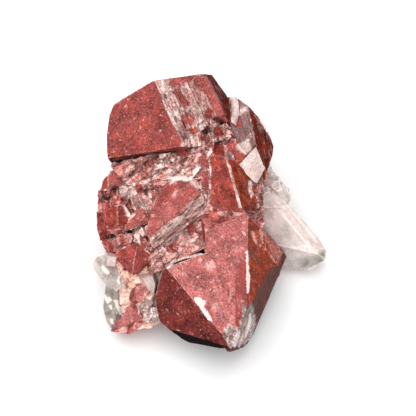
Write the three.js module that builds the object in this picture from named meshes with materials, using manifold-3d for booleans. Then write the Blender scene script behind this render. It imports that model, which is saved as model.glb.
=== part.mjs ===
// Red quartz: a hand-sized cluster of iron-stained quartz crystals with two clear ones, grown together
// and cut off flat underneath. Millimetres, +Z up, origin under the middle of the flat cut.
import * as THREE from "three";
import { ConvexGeometry } from "three/addons/geometries/ConvexGeometry.js";
import { mergeVertices } from "three/addons/utils/BufferGeometryUtils.js";
import Module from "manifold-3d";

// The front crystals are laid out on a drawing sheet of quarter-millimetre squares: x runs right, y runs
// down, and a height stands off the sheet in millimetres. The sheet leans back over the base.
const SQUARE_MM = 0.25;
const SHEET_MIDDLE = 208;
const SHEET_CLIMB_DEG = 60; // how far the sheet's outward normal climbs above the ground
const SHEET_HEIGHT_MM = 24; // the sheet's middle above the flat cut
const CENTRING_MM = [-0.7, 1.3]; // moves the cluster so that its outline is centred over the origin

// Angles of quartz, between the outward normals of neighbouring faces.
const CAP_TO_CAP = 46.3;
const CAP_TO_PRISM = 38.2;
const CAP_TO_AXIS = 51.8;
const PRISM_SIDES = 6;

const BASE_BLOCK_MM = 200; // side of the block that cuts the underside flat
const NEAR_MM = 1e-4;
const GOLDEN_TURN = 2.399963; // radians between facets that spread evenly over a lump

// Crystals drawn on the sheet. face: x, y, height, heading and tilt of the main face. outline: the
// crystal's edge on the sheet. wall: tilt of its sides, 90 where they run straight back and more where
// they are undercut. turns: further faces, each bent down from an earlier one along a line on it, as
// parent, x1, y1, x2, y2, degrees. back: the height at which the crystal ends inside the cluster.
const BIG_FACE = [215, 290, 14, 92.3, 8.5];
const BIG_RIDGE = [0, 245, 300, 247, 240, CAP_TO_CAP];
const BIG_TURNS = [
  BIG_RIDGE,
  [0, 167, 267, 224, 335, CAP_TO_CAP],
  [1, 253, 297, 281, 250, CAP_TO_PRISM],
  [2, 170, 328, 225, 343, CAP_TO_PRISM],
  [0, 222, 340, 243, 317, 25],
  [0, 234.5, 322, 236.5, 258, 5],
];
const CRYSTALS = [
  {
    name: "top",
    face: [145, 125, 11, 200, 8],
    outline: [
      [108, 135], [111, 115], [117, 102], [122, 99], [141, 87], [158, 82], [177, 71.5], [195, 65.5],
      [208, 70.5], [223, 89], [230, 101], [235, 127], [225, 138], [168, 157], [110, 165], [108, 152],
    ],
    wall: [94, 94, 96, 102, 102, 99, 98, 98, 96, 96, 96, 96, 85, 88, 94, 94],
    turns: [
      [0, 181, 140, 157, 87, CAP_TO_PRISM],
      [0, 110, 159, 166, 150.5, 80],
      [0, 124, 96, 113, 158, 12],
      [1, 223, 122, 204, 74, 32],
      [1, 182, 143, 233, 113, 28],
    ],
    back: -15,
  },
  {
    name: "big lower",
    face: BIG_FACE,
    outline: [
      [156, 293], [163, 268], [167, 266], [205, 252], [265, 236], [281, 249], [287.5, 257], [252, 337],
      [246, 343], [222, 346], [190, 342.5], [178, 336], [160, 321], [157, 306],
    ],
    wall: [92, 92, 75, 75, 90, 90, 93, 93, 90, 92, 97, 97, 95, 94],
    turns: BIG_TURNS,
    back: -14,
  },
  {
    name: "big tip",
    face: BIG_FACE,
    outline: [[218, 334], [246, 326], [251, 337], [247, 344], [240, 347], [232, 349], [226, 349]],
    wall: [80, 85, 93, 91, 91, 92, 95],
    turns: BIG_TURNS,
    back: -2,
  },
  {
    name: "big upper",
    face: BIG_FACE,
    outline: [
      [196, 232], [208, 228], [230, 215], [247, 210], [252, 214], [261, 229], [281, 250], [280, 268],
      [206, 268], [206, 252], [197, 242],
    ],
    wall: [55, 45, 50, 60, 85, 88, 92, 94, 80, 80, 70],
    turns: [BIG_RIDGE, [1, 251, 210, 268, 232, 25]],
    back: -14,
  },
  {
    name: "centre",
    face: [175, 205, 8, 131.9, 6],
    outline: [
      [147, 236], [154, 206], [163, 186], [172, 181], [196, 184], [204, 196], [212, 210], [164, 258],
      [150, 240],
    ],
    wall: [72, 76, 76, 70, 62, 70, 70, 80, 60],
    turns: [[0, 152, 236.5, 200.5, 193.5, CAP_TO_PRISM]],
    back: -10,
  },
  {
    name: "right middle",
    face: [222, 180, 8, 195, 10],
    outline: [
      [206, 166], [212, 156], [229, 156], [240, 166], [251, 181], [258, 197], [256, 209], [232, 213],
      [209, 206], [204, 198],
    ],
    wall: [80, 60, 60, 85, 88, 88, 80, 60, 60, 80],
    turns: [
      [0, 237.5, 204, 225.5, 160, 20],
      [1, 240.5, 204, 228.5, 160, 30],
      [0, 211.5, 160, 210.5, 200, 40],
    ],
    back: -14,
  },
  {
    name: "upper right",
    face: [245, 130, 3.5, 150, 12],
    outline: [
      [224, 97], [238, 98], [252, 110], [263, 121], [269, 132], [273.5, 147], [272, 157], [262, 184],
      [247, 187], [226, 172], [220, 130],
    ],
    wall: [110, 110, 106, 100, 97, 95, 92, 92, 80, 80, 95],
    turns: [[0, 260, 165, 249, 111, 45]],
    back: -26,
  },
  {
    name: "clear right",
    face: [285, 225, -9, 215, 12],
    outline: [
      [250, 192], [268, 199], [282, 200], [292, 206], [320, 238], [329, 252], [327, 261], [314, 271],
      [300, 272], [283, 273], [255, 264],
    ],
    wall: 95,
    turns: [
      [0, 313, 247, 281, 199, 45],
      [0, 270, 244, 312, 253, 40],
    ],
    back: -20,
  },
  {
    name: "clear right, behind",
    face: [272, 185, -10, 60, 25],
    outline: [[255, 160], [270, 167], [277, 173], [285, 184], [294, 197], [289, 208], [255, 208]],
    wall: 96,
    turns: [],
    back: -24,
  },
  {
    name: "left top",
    face: [117, 178, 4, 110, 20],
    outline: [[103, 181], [111, 172], [121, 168], [131, 178], [119, 187], [102, 188]],
    wall: [95, 95, 88, 74, 66, 95],
    turns: [[0, 109, 189, 107, 170, 25]],
    back: -12,
  },
  {
    name: "left druse",
    face: [112, 198, 1.5, 190, 15],
    outline: [[97, 212], [99, 200], [101, 189], [110, 185], [126, 186], [130, 205], [118, 212]],
    wall: [95, 95, 95, 70, 74, 74, 70],
    turns: [],
    back: -12,
  },
  {
    name: "left block",
    face: [113, 217, 5.4, 200, 20],
    outline: [[106, 213], [112, 207], [126, 206], [132, 217], [125, 228], [108, 229]],
    wall: [88, 70, 66, 70, 72, 85],
    turns: [[0, 119, 229, 118, 206, 30]],
    back: -10,
  },
  {
    name: "left block, low",
    face: [115, 231, 4.3, 265, 25],
    outline: [[107, 226], [126, 225], [126, 232], [118, 237], [108, 236]],
    wall: [70, 70, 75, 80, 85],
    turns: [],
    back: -10,
  },
  {
    name: "left knob",
    face: [129, 190, 5.6, 60, 14],
    outline: [[119, 187], [131, 182], [139, 189], [136, 197], [128, 198], [121, 194]],
    wall: [76, 70, 70, 70, 76, 80],
    turns: [[0, 136, 186, 124, 196, 20]],
    back: -1,
  },
  {
    name: "left chip",
    face: [138, 184, 6.6, 100, 20],
    outline: [[133, 180], [141, 180], [142.5, 187], [138, 190], [134.5, 186]],
    wall: 70,
    turns: [],
    back: 0,
  },
  {
    name: "left rim",
    face: [102, 225, 0, 180, 30],
    outline: [[96, 212], [106, 209], [109, 236], [100, 240], [97, 230]],
    wall: [95, 88, 88, 92, 95],
    turns: [],
    back: -10,
  },
  {
    name: "left wedge",
    face: [138, 219, 7, 120, 12],
    outline: [[125, 226], [141, 208], [150, 221], [127, 231]],
    wall: [70, 70, 88, 88],
    turns: [],
    back: -8,
  },
  {
    name: "left low",
    face: [127, 239, 3, 250, 20],
    outline: [[114, 236], [138, 231], [141, 242], [128, 248], [107, 253], [102, 242]],
    wall: [60, 60, 60, 70, 95, 95],
    turns: [],
    back: -8,
  },
  {
    name: "left low, upper",
    face: [126, 238, 5, 100, 10],
    outline: [[117, 237], [126, 233], [135, 233], [132, 242], [119, 245]],
    wall: [64, 64, 64, 76, 76],
    turns: [],
    back: -6,
  },
  {
    name: "left low, right",
    face: [142, 244, 6, 200, 15],
    outline: [[134, 241], [145, 237], [149, 243], [143, 252], [134, 248]],
    wall: [64, 70, 66, 60, 64],
    turns: [[0, 143, 252, 141, 238, 25]],
    back: -6,
  },
  {
    name: "pyramid",
    face: [126, 260, 5, 215, 22],
    outline: [[118, 252], [128, 246], [140, 245], [151, 256], [150, 261], [133, 275], [117, 259]],
    wall: [80, 70, 70, 74, 78, 78, 80],
    turns: [[0, 132.5, 275, 138, 246, 32]],
    back: -6,
  },
  {
    name: "clear left",
    face: [116, 300, -2, 200, 15],
    outline: [[106, 280], [127, 276], [135, 293], [127, 312], [113, 332], [106, 322], [102.5, 308]],
    wall: [94, 60, 60, 80, 94, 96, 96],
    turns: [[0, 127, 276, 112, 330, 35]],
    back: -13,
  },
  {
    name: "clear left, tongue",
    face: [110, 272, 3, 150, 25],
    outline: [
      [93, 262], [97, 257], [108, 254], [118, 266], [125, 284], [117, 291], [106, 284], [94, 269],
    ],
    wall: 90,
    turns: [],
    back: -5,
  },
  {
    name: "foot",
    face: [128, 318, 1, 250, 15],
    outline: [[111, 331], [131, 303], [144, 322], [139, 330], [127, 334]],
    wall: [88, 60, 85, 94, 96],
    turns: [[0, 113, 331, 137, 322, 30]],
    back: -12,
  },
  {
    name: "foot, small",
    face: [142, 292, 4, 240, 10],
    outline: [[134, 298], [136, 286], [146, 283], [150, 292], [143, 302]],
    wall: 72,
    turns: [],
    back: -4,
  },
  {
    name: "foot, clear block",
    face: [149, 282, 4.6, 150, 14],
    outline: [[144, 279], [153, 276], [156, 284], [154.5, 292], [147, 287]],
    wall: [64, 70, 80, 74, 60],
    turns: [],
    back: -6,
  },
  {
    name: "pale cube",
    face: [113, 260, 6.4, 120, 12],
    outline: [[108.5, 255], [117.5, 256.5], [116, 266], [107.5, 265]],
    wall: 84,
    turns: [],
    back: -4,
  },
  {
    name: "pale wedge",
    face: [234, 110, 3.3, 170, 10],
    outline: [[228, 97], [238, 98.5], [239.5, 113], [236, 127], [231, 122]],
    wall: [100, 100, 66, 66, 85],
    turns: [],
    back: -8,
  },
  {
    name: "flat by the block",
    face: [236, 152, 4.4, 150, 10],
    outline: [[224, 146], [234, 140], [247, 154], [240, 165], [229, 157]],
    wall: [66, 66, 74, 74, 60],
    turns: [],
    back: -6,
  },
  {
    name: "splinter",
    face: [205, 180, 7.4, 190, 10],
    outline: [[200, 173], [208, 169], [209.5, 190], [202, 188]],
    wall: 70,
    turns: [],
    back: -6,
  },
  {
    name: "pale block",
    face: [251, 166, 5.5, 150, 12],
    outline: [[238.5, 165.5], [255, 147], [265, 168], [256.5, 184], [249, 179]],
    wall: [60, 75, 92, 90, 60],
    turns: [],
    back: -6,
  },
  {
    name: "matrix, under top",
    face: [175, 165, 6.8, 100, 7],
    outline: [
      [112, 166], [186, 145], [214, 140], [214, 160], [205, 188], [172, 186], [150, 192], [128, 185],
    ],
    wall: [85, 80, 80, 75, 60, 60, 60, 97],
    turns: [],
    back: -8,
  },
  {
    name: "matrix, right of centre",
    face: [206, 190, 6, 60, 10],
    outline: [[197, 178], [212, 168], [214, 212], [205, 208]],
    wall: 70,
    turns: [],
    back: -8,
  },
  {
    name: "matrix, left of centre",
    face: [140, 200, 5, 150, 14],
    outline: [
      [131, 174], [150, 178], [168, 186], [158, 208], [149, 240], [142, 248], [135, 235], [130, 205],
    ],
    wall: [75, 75, 70, 70, 70, 70, 70, 70],
    turns: [],
    back: -8,
  },
  {
    name: "matrix, under centre",
    face: [188, 243, 8.2, 130, 40],
    outline: [[149, 246], [203, 201], [212, 212], [209, 256], [167, 268], [156, 274], [149, 264]],
    wall: [90, 80, 80, 90, 90, 80, 80],
    turns: [],
    back: -8,
  },
  {
    name: "matrix, right",
    face: [244, 160, 3.8, 120, 10],
    outline: [
      [218, 148], [224, 138], [240, 132], [262, 150], [267, 178], [260, 193], [248, 190], [232, 172],
    ],
    wall: [80, 80, 90, 93, 93, 90, 80, 80],
    turns: [],
    back: -8,
  },
  {
    name: "matrix, low",
    face: [145, 295, 1, 230, 12],
    outline: [
      [122, 262], [156, 258], [165, 290], [163, 321], [150, 327], [137, 330], [122, 312], [118, 285],
    ],
    wall: [80, 80, 90, 94, 97, 97, 80, 88],
    turns: [],
    back: -14,
  },
  {
    name: "matrix, core",
    face: [185, 200, -1, 90, 4],
    outline: [
      [122, 160], [175, 130], [235, 128], [262, 172], [264, 215], [262, 262], [165, 300], [125, 285],
      [110, 245], [110, 190],
    ],
    wall: [100, 108, 108, 98, 95, 97, 100, 100, 97, 97],
    turns: [],
    back: -46,
  },
];

// Ledges: low steps left where a striated face grew unevenly. on: the crystal and the number of its
// face. quad: the step's four corners on the sheet. rise: how far it stands proud of the face.
const LEDGE_WALL_DEG = 78;
const LEDGE_ROOT_MM = 1.5;
const LEDGES = [
  { on: "top", face: 1, quad: [[161, 98], [164, 96], [181, 133], [178, 134]], rise: 0.35 },
  { on: "top", face: 1, quad: [[169, 88], [173, 86], [192, 130], [188, 132]], rise: 0.5 },
  { on: "top", face: 1, quad: [[179, 84], [186, 81], [204, 121], [198, 126]], rise: 0.7 },
  { on: "top", face: 1, quad: [[191, 82], [195, 79], [213, 119], [209, 122]], rise: 0.4 },
  { on: "top", face: 1, quad: [[200, 78], [206, 78], [224, 114], [218, 118]], rise: 0.55 },
  { on: "centre", face: 1, quad: [[201, 199], [204, 202], [160, 242], [157, 239]], rise: 0.45 },
  { on: "centre", face: 1, quad: [[207, 204], [210, 209], [168, 248], [163, 245]], rise: 0.7 },
  { on: "big lower", face: 1, quad: [[262, 238], [266, 237], [279, 252], [275, 257]], rise: 0.45 },
  { on: "right middle", face: 2, quad: [[236, 168], [240, 170], [250, 192], [246, 196]], rise: 0.5 },
  { on: "upper right", face: 1, quad: [[256, 119], [260, 123], [268, 156], [264, 160]], rise: 0.55 },
  { on: "upper right", face: 0, quad: [[240, 110], [246, 112], [252, 140], [246, 143]], rise: 0.5 },
  { on: "clear right", face: 1, quad: [[285, 204], [291, 208], [315, 238], [310, 242]], rise: 0.4 },
];

// Whole crystals round the sides and back, in the part's own frame. base: where the axis starts.
// aim: the axis's heading and climb. side: from the axis to a prism face. length: from the start to the
// shoulder. roll: turn about the axis. caps: how much later each cap face starts than the shoulder.
const POINT_ROOT_MM = 8;
const POINTS = [
  { base: [-12, 15, 11], aim: [112, 6], side: 6, length: 13, roll: 10, caps: [0, 2, 1, 3, 0, 1.5] },
  { base: [3, 15, 12], aim: [75, -4], side: 5.5, length: 12, roll: 25, caps: [0, 1.5, 0.5, 3, 1, 2] },
  { base: [-5, 17, 5], aim: [92, 4], side: 4.5, length: 12, roll: 0, caps: [0, 2, 0, 2, 0, 2] },
  { base: [-4, 15, 20], aim: [98, 16], side: 5, length: 12, roll: 20, caps: [0, 1, 2, 0.5, 1, 0] },
  { base: [-14, 4, 13], aim: [172, 8], side: 5.5, length: 5, roll: 15, caps: [0, 1.5, 0.5, 2, 1, 2] },
  { base: [-15, 14, 7], aim: [150, 2], side: 4, length: 6, roll: 5, caps: [0, 1, 0.5, 2, 1, 1] },
  { base: [-12, -8, 7], aim: [200, 6], side: 4.5, length: 4, roll: 40, caps: [0, 1.5, 0.5, 2, 1, 2] },
  { base: [9, 6, 8], aim: [25, -6], side: 4.8, length: 5, roll: 10, caps: [0, 2, 1, 3, 0, 1.5] },
  { base: [6, 12, 13], aim: [56, 6], side: 4.5, length: 8, roll: 44, caps: [0, 2, 0, 2, 0, 2] },
  { base: [4, -8, 6], aim: [-50, -2], side: 5, length: 5, roll: 33, caps: [0, 2, 1, 3, 0, 1.5] },
  { base: [-4, -9, 5], aim: [255, 2], side: 5, length: 4, roll: 12, caps: [0, 1, 2, 0, 1, 2] },
];

// Broken quartz between the crystals: a run of angular lumps along a line. size: the mean half-width.
// The ends of a sheet run are x, y and height on the sheet; those of a plain run are in the part's frame.
const LUMP_FACETS = 10;
const LUMP_STRETCH = 0.45; // how far a lump's three half-widths stray from the mean, as a share
const LUMP_FLATTEN = 0.25; // how far a facet may cut inside the lump's own ellipsoid, as a share
const SHEET_RUNS = [
  { from: [116, 169, 4.5], to: [160, 163, 6], spread: 1, count: 10, size: 1.2, seed: 11 },
  { from: [140, 178, 4.8], to: [172, 176, 6.2], spread: 1, count: 7, size: 1.1, seed: 47 },
  { from: [168, 158, 6.2], to: [205, 152, 6.8], spread: 1.4, count: 9, size: 1.3, seed: 29 },
  { from: [186, 142, 6], to: [230, 129, 4], spread: 0.9, count: 11, size: 1.3, seed: 5 },
  { from: [104, 192, 1.6], to: [122, 205, 3], spread: 1.3, count: 14, size: 1.1, seed: 17 },
  { from: [126, 184, 3.2], to: [152, 200, 4.6], spread: 1, count: 7, size: 1.2, seed: 3 },
  { from: [158, 262, 7.6], to: [206, 226, 6.6], spread: 0.8, count: 10, size: 1.2, seed: 41 },
  { from: [204, 160, 5.6], to: [204, 200, 5.6], spread: 0.6, count: 6, size: 1, seed: 8 },
  { from: [251, 184, 3.2], to: [257, 206, 2.6], spread: 0.6, count: 5, size: 1.1, seed: 23 },
  { from: [225, 133, 4.4], to: [240, 144, 3.6], spread: 0.5, count: 5, size: 0.9, seed: 31 },
  { from: [130, 272, 2.4], to: [150, 298, 2], spread: 1.6, count: 10, size: 1.3, seed: 13 },
  { from: [143, 303, 2.4], to: [155, 318, 1.4], spread: 1.3, count: 10, size: 1.4, seed: 52 },
  { from: [118, 264, 3], to: [131, 290, 1.5], spread: 0.8, count: 6, size: 1.1, seed: 19 },
  { from: [106, 296, 0], to: [122, 308, 0], spread: 0.9, count: 6, size: 1.2, seed: 61 },
  { from: [262, 172, -10], to: [286, 200, -11], spread: 1.3, count: 9, size: 1.5, seed: 37 },
];
const PLAIN_RUNS = [
  { from: [-20, 8, 5], to: [-6, 25, 7], spread: 2.5, count: 7, size: 3.2, seed: 2 },
  { from: [4, 24, 6], to: [16, 12, 8], spread: 2.5, count: 7, size: 3, seed: 7 },
  { from: [-20, -4, 9], to: [-16, 12, 20], spread: 2, count: 7, size: 2.6, seed: 14 },
  { from: [-14, -12, 3], to: [10, -14, 4], spread: 2.5, count: 8, size: 3, seed: 21 },
  { from: [16, 4, 5], to: [14, -10, 6], spread: 2, count: 6, size: 2.8, seed: 26 },
  { from: [-14, 24, 22], to: [6, 24, 20], spread: 2, count: 6, size: 2.4, seed: 33 },
];

// Holes broken into the ends of the crystals: x, y and height on the sheet, and the half-width.
const PITS = [
  [207, 132, 5.5, 1.3],
  [223, 122, 4.5, 1.4],
  [112, 238, 3.5, 1.2],
  [243, 340, 10, 1.3],
  [158, 262, 4.5, 1.2],
];

const sheetToPart = new THREE.Matrix4()
  .makeRotationX(THREE.MathUtils.degToRad(90 - SHEET_CLIMB_DEG))
  .setPosition(0, 0, SHEET_HEIGHT_MM);

function onSheet(x, y, height) {
  return new THREE.Vector3((x - SHEET_MIDDLE) * SQUARE_MM, (SHEET_MIDDLE - y) * SQUARE_MM, height);
}

// The direction with this heading in the plane of x and y, tipped from +Z by tilt degrees.
function direction(headingDeg, tiltDeg) {
  const heading = THREE.MathUtils.degToRad(headingDeg);
  return new THREE.Vector3().setFromSphericalCoords(
    1,
    THREE.MathUtils.degToRad(tiltDeg),
    Math.PI / 2 + heading,
  ).applyAxisAngle(new THREE.Vector3(1, 0, 0), Math.PI / 2);
}

// Every solid is the space behind a set of planes whose normals point out of it.
function faceThrough(normal, point) {
  return new THREE.Plane().setFromNormalAndCoplanarPoint(normal, point);
}

function heightOn(plane, x, y) {
  const flat = onSheet(x, y, 0);
  return -plane.distanceToPoint(flat) / plane.normal.z;
}

function lifted(plane, x, y) {
  return onSheet(x, y, heightOn(plane, x, y));
}

// A face bent down from plane along the line x1, y1 to x2, y2, away from the point inside.
function bentFace(plane, x1, y1, x2, y2, degrees, inside) {
  const start = lifted(plane, x1, y1);
  const edge = lifted(plane, x2, y2).sub(start).normalize();
  const outward = edge.cross(plane.normal);
  if (outward.dot(inside.clone().sub(start)) > 0) outward.negate();
  const turn = THREE.MathUtils.degToRad(degrees);
  const normal = plane.normal.clone().multiplyScalar(Math.cos(turn));
  return faceThrough(normal.addScaledVector(outward, Math.sin(turn)), start);
}

function middleOf(outline) {
  const sum = new THREE.Vector3();
  for (const [x, y] of outline) sum.add(onSheet(x, y, 0));
  return sum.divideScalar(outline.length);
}

// The sides of a crystal: one wall along each edge of its outline, standing where the faces end.
function wallsOf(outline, wall, faces) {
  const middle = middleOf(outline);
  return outline.map(([x, y], i) => {
    const [nextX, nextY] = outline[(i + 1) % outline.length];
    const start = onSheet(x, y, 0);
    const edge = onSheet(nextX, nextY, 0).sub(start);
    const outward = new THREE.Vector3(edge.y, -edge.x, 0).normalize();
    if (outward.dot(middle.clone().sub(start)) > 0) outward.negate();
    const halfX = (x + nextX) / 2;
    const halfY = (y + nextY) / 2;
    start.z = Math.min(...faces.map((face) => heightOn(face, halfX, halfY)));
    const tilt = THREE.MathUtils.degToRad(Array.isArray(wall) ? wall[i] : wall);
    const normal = outward.multiplyScalar(Math.sin(tilt));
    normal.z = Math.cos(tilt);
    return faceThrough(normal, start);
  });
}

function upperFaces(crystal) {
  const [x, y, height, heading, tilt] = crystal.face;
  const centre = onSheet(x, y, height);
  const faces = [faceThrough(direction(heading, tilt), centre)];
  for (const [parent, x1, y1, x2, y2, degrees] of crystal.turns)
    faces.push(bentFace(faces[parent], x1, y1, x2, y2, degrees, centre));
  return faces;
}

function crystalPlanes(crystal) {
  const faces = upperFaces(crystal);
  const back = new THREE.Plane(new THREE.Vector3(0, 0, -1), crystal.back);
  return [...faces, ...wallsOf(crystal.outline, crystal.wall, faces), back];
}

function ledgePlanes(ledge) {
  const crystal = CRYSTALS.find(({ name }) => name === ledge.on);
  const face = upperFaces(crystal)[ledge.face];
  const top = new THREE.Plane(face.normal, face.constant - ledge.rise);
  const bottom = new THREE.Plane(face.normal.clone().negate(), -face.constant - LEDGE_ROOT_MM);
  return [top, ...wallsOf(ledge.quad, LEDGE_WALL_DEG, [top]), bottom];
}

// A six-sided prism with six cap faces, alternate ones set back.
function pointPlanes({ base, aim, side, length, roll, caps }) {
  const start = new THREE.Vector3(...base);
  const axis = direction(aim[0], 90 - aim[1]);
  const across = new THREE.Vector3(0, 0, 1).cross(axis).normalize();
  const planes = [faceThrough(axis.clone().negate(), start.clone().addScaledVector(axis, -POINT_ROOT_MM))];
  const capTilt = THREE.MathUtils.degToRad(CAP_TO_AXIS);
  for (let i = 0; i < PRISM_SIDES; i++) {
    const turn = THREE.MathUtils.degToRad(roll + (i * 360) / PRISM_SIDES);
    const out = across.clone().applyAxisAngle(axis, turn);
    const onSide = start.clone().addScaledVector(out, side);
    const capNormal = out.clone().multiplyScalar(Math.sin(capTilt));
    capNormal.addScaledVector(axis, Math.cos(capTilt));
    planes.push(faceThrough(out, onSide));
    planes.push(faceThrough(capNormal, onSide.addScaledVector(axis, length + caps[i])));
  }
  return planes;
}

// Even pseudo-random numbers from 0 to 1, the same on every run.
function numbersFrom(seed) {
  let state = seed;
  return () => {
    state = (state * 1103515245 + 12345) % 2147483648;
    return state / 2147483648;
  };
}

// An angular lump about centre: facets spread over an ellipsoid, each cut in by a different amount.
function lumpPlanes(centre, size, random) {
  const stretch = () => size * (1 + LUMP_STRETCH * (2 * random() - 1));
  const halfWidths = new THREE.Vector3(stretch(), stretch(), stretch());
  const start = 2 * Math.PI * random();
  return Array.from({ length: LUMP_FACETS }, (_, i) => {
    const up = 1 - (2 * (i + 0.5)) / LUMP_FACETS;
    const turn = start + GOLDEN_TURN * i;
    const out = Math.sqrt(1 - up * up);
    const normal = new THREE.Vector3(out * Math.cos(turn), out * Math.sin(turn), up);
    const reach = normal.clone().multiply(halfWidths).length() * (1 - LUMP_FLATTEN * random());
    return faceThrough(normal, centre.clone().addScaledVector(normal, reach));
  });
}

function runOfLumps(from, to, { spread, count, size, seed }) {
  const random = numbersFrom(seed);
  const stray = () => spread * (2 * random() - 1);
  return Array.from({ length: count }, (_, i) => {
    const centre = from.clone().lerp(to, (i + random()) / count);
    centre.add(new THREE.Vector3(stray(), stray(), stray() / 2));
    return lumpPlanes(centre, size * (0.7 + 0.6 * random()), random);
  });
}

function meetingPoint(a, b, c) {
  const bc = b.normal.clone().cross(c.normal);
  const volume = a.normal.dot(bc);
  if (Math.abs(volume) < NEAR_MM) return null;
  const point = bc.multiplyScalar(-a.constant);
  point.addScaledVector(c.normal.clone().cross(a.normal), -b.constant);
  point.addScaledVector(a.normal.clone().cross(b.normal), -c.constant);
  return point.divideScalar(volume);
}

function cornersOf(planes) {
  const corners = [];
  for (let i = 0; i < planes.length; i++)
    for (let j = i + 1; j < planes.length; j++)
      for (let k = j + 1; k < planes.length; k++) {
        const point = meetingPoint(planes[i], planes[j], planes[k]);
        if (!point || planes.some((plane) => plane.distanceToPoint(point) > NEAR_MM)) continue;
        if (corners.some((corner) => corner.distanceTo(point) < 10 * NEAR_MM)) continue;
        corners.push(point);
      }
  return corners;
}

const wasm = await Module();
wasm.setup();

function solidFrom(geometry) {
  geometry.deleteAttribute("normal");
  geometry.deleteAttribute("uv");
  const merged = mergeVertices(geometry, NEAR_MM);
  const vertProperties = merged.attributes.position.array;
  const triVerts = new Uint32Array(merged.index.array);
  return new wasm.Manifold(new wasm.Mesh({ numProp: 3, vertProperties, triVerts }));
}

function solidBehind(planes) {
  return solidFrom(new ConvexGeometry(cornersOf(planes)));
}

function placed(planes) {
  return planes.map((plane) => plane.applyMatrix4(sheetToPart));
}

function sheetRun(run) {
  return runOfLumps(onSheet(...run.from), onSheet(...run.to), run).map(placed);
}

function plainRun(run) {
  return runOfLumps(new THREE.Vector3(...run.from), new THREE.Vector3(...run.to), run);
}

function pitPlanes([x, y, height, size], i) {
  return placed(lumpPlanes(onSheet(x, y, height), size, numbersFrom(i + 1)));
}

function clusterSolid() {
  const pieces = [
    ...CRYSTALS.map((crystal) => placed(crystalPlanes(crystal))),
    ...LEDGES.map((ledge) => placed(ledgePlanes(ledge))),
    ...POINTS.map(pointPlanes),
    ...SHEET_RUNS.flatMap(sheetRun),
    ...PLAIN_RUNS.flatMap(plainRun),
  ];
  const joined = pieces.map(solidBehind).reduce((sum, piece) => sum.add(piece));
  const pitted = PITS.map(pitPlanes).map(solidBehind).reduce((sum, pit) => sum.subtract(pit), joined);
  const ground = new THREE.BoxGeometry(BASE_BLOCK_MM, BASE_BLOCK_MM, BASE_BLOCK_MM);
  ground.translate(0, 0, -BASE_BLOCK_MM / 2);
  return pitted.subtract(solidFrom(ground));
}

// The corner that stands for each group of joined triangles: two corners of one skin share it.
function skinLabels(triVerts, cornerCount) {
  const label = Uint32Array.from({ length: cornerCount }, (_, i) => i);
  const find = (i) => {
    while (label[i] !== i) {
      label[i] = label[label[i]];
      i = label[i];
    }
    return i;
  };
  for (let i = 0; i < triVerts.length; i += 3) {
    label[find(triVerts[i + 1])] = find(triVerts[i]);
    label[find(triVerts[i + 2])] = find(triVerts[i]);
  }
  return label.map((_, i) => find(i));
}

// The outer skin alone: crystals that close round a gap leave a sealed hollow, which is filled.
function outerSkin({ vertProperties, triVerts }) {
  const labels = skinLabels(triVerts, vertProperties.length / 3);
  let furthest = 0;
  for (let i = 0; i < labels.length; i++)
    if (vertProperties[3 * i] > vertProperties[3 * furthest]) furthest = i;
  const kept = [];
  for (let i = 0; i < triVerts.length; i += 3)
    if (labels[triVerts[i]] === labels[furthest]) kept.push(...triVerts.subarray(i, i + 3));
  return kept;
}

function geometryOf(solid) {
  const mesh = solid.getMesh();
  const geometry = new THREE.BufferGeometry();
  geometry.setAttribute("position", new THREE.BufferAttribute(mesh.vertProperties, 3));
  geometry.setIndex(outerSkin(mesh));
  return geometry;
}

const redQuartz = new THREE.MeshStandardMaterial({
  name: "red_quartz",
  color: 0x9c4b40,
  roughness: 0.45,
  metalness: 0,
  flatShading: true,
});

const cluster = new THREE.Mesh(geometryOf(clusterSolid()), redQuartz);
cluster.name = "red_quartz_cluster";
cluster.position.set(...CENTRING_MM, 0);

const part = new THREE.Group();
part.name = "red_quartz";
part.add(cluster);

export default part;
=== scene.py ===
"""Red quartz: the looks of a cluster of iron-stained quartz crystals with two clear ones.

The crystals are the same half-spaces as in the part's source. They are joined again here without the
clear ones, meshed finely, given relief and wear, and painted by the habit of each face.
"""
import itertools
import math
from collections import namedtuple

import bmesh
import bpy
import numpy as np
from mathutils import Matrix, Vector, noise


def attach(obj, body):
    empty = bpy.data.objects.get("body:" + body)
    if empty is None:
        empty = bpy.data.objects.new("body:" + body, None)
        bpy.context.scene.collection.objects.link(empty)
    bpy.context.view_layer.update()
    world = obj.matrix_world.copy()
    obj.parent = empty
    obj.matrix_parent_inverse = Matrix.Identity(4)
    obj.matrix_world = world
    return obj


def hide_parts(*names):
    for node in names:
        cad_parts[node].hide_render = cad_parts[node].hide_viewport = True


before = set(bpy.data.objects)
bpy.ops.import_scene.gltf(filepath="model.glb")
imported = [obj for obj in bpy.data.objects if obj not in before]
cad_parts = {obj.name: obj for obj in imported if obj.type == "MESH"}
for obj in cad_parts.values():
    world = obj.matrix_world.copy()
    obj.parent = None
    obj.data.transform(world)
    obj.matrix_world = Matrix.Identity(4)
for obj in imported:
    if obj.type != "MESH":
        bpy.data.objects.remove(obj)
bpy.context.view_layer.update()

# Blender seeds the offsets of noise_vector from the clock, so they are seeded here instead.
NOISE_SEED = 1
noise.seed_set(NOISE_SEED)

MM = 0.001
DOWN = np.array([0, 0, -1.0])

# The drawing sheet: quarter-millimetre squares, x right and y down, heights standing off it in mm.
SQUARE_MM = 0.25
SHEET_MIDDLE = 208
SHEET_CLIMB_DEG = 60
SHEET_HEIGHT_MM = 24
CENTRING_MM = np.array([-0.7, 1.3, 0.0])

# Angles of quartz, between the outward normals of neighbouring faces.
CAP_TO_CAP = 46.3
CAP_TO_PRISM = 38.2
CAP_TO_AXIS = 51.8
PRISM_SIDES = 6

GROUND_MM = 200
NEAR_MM = 1e-4
GOLDEN_TURN = 2.399963

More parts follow.
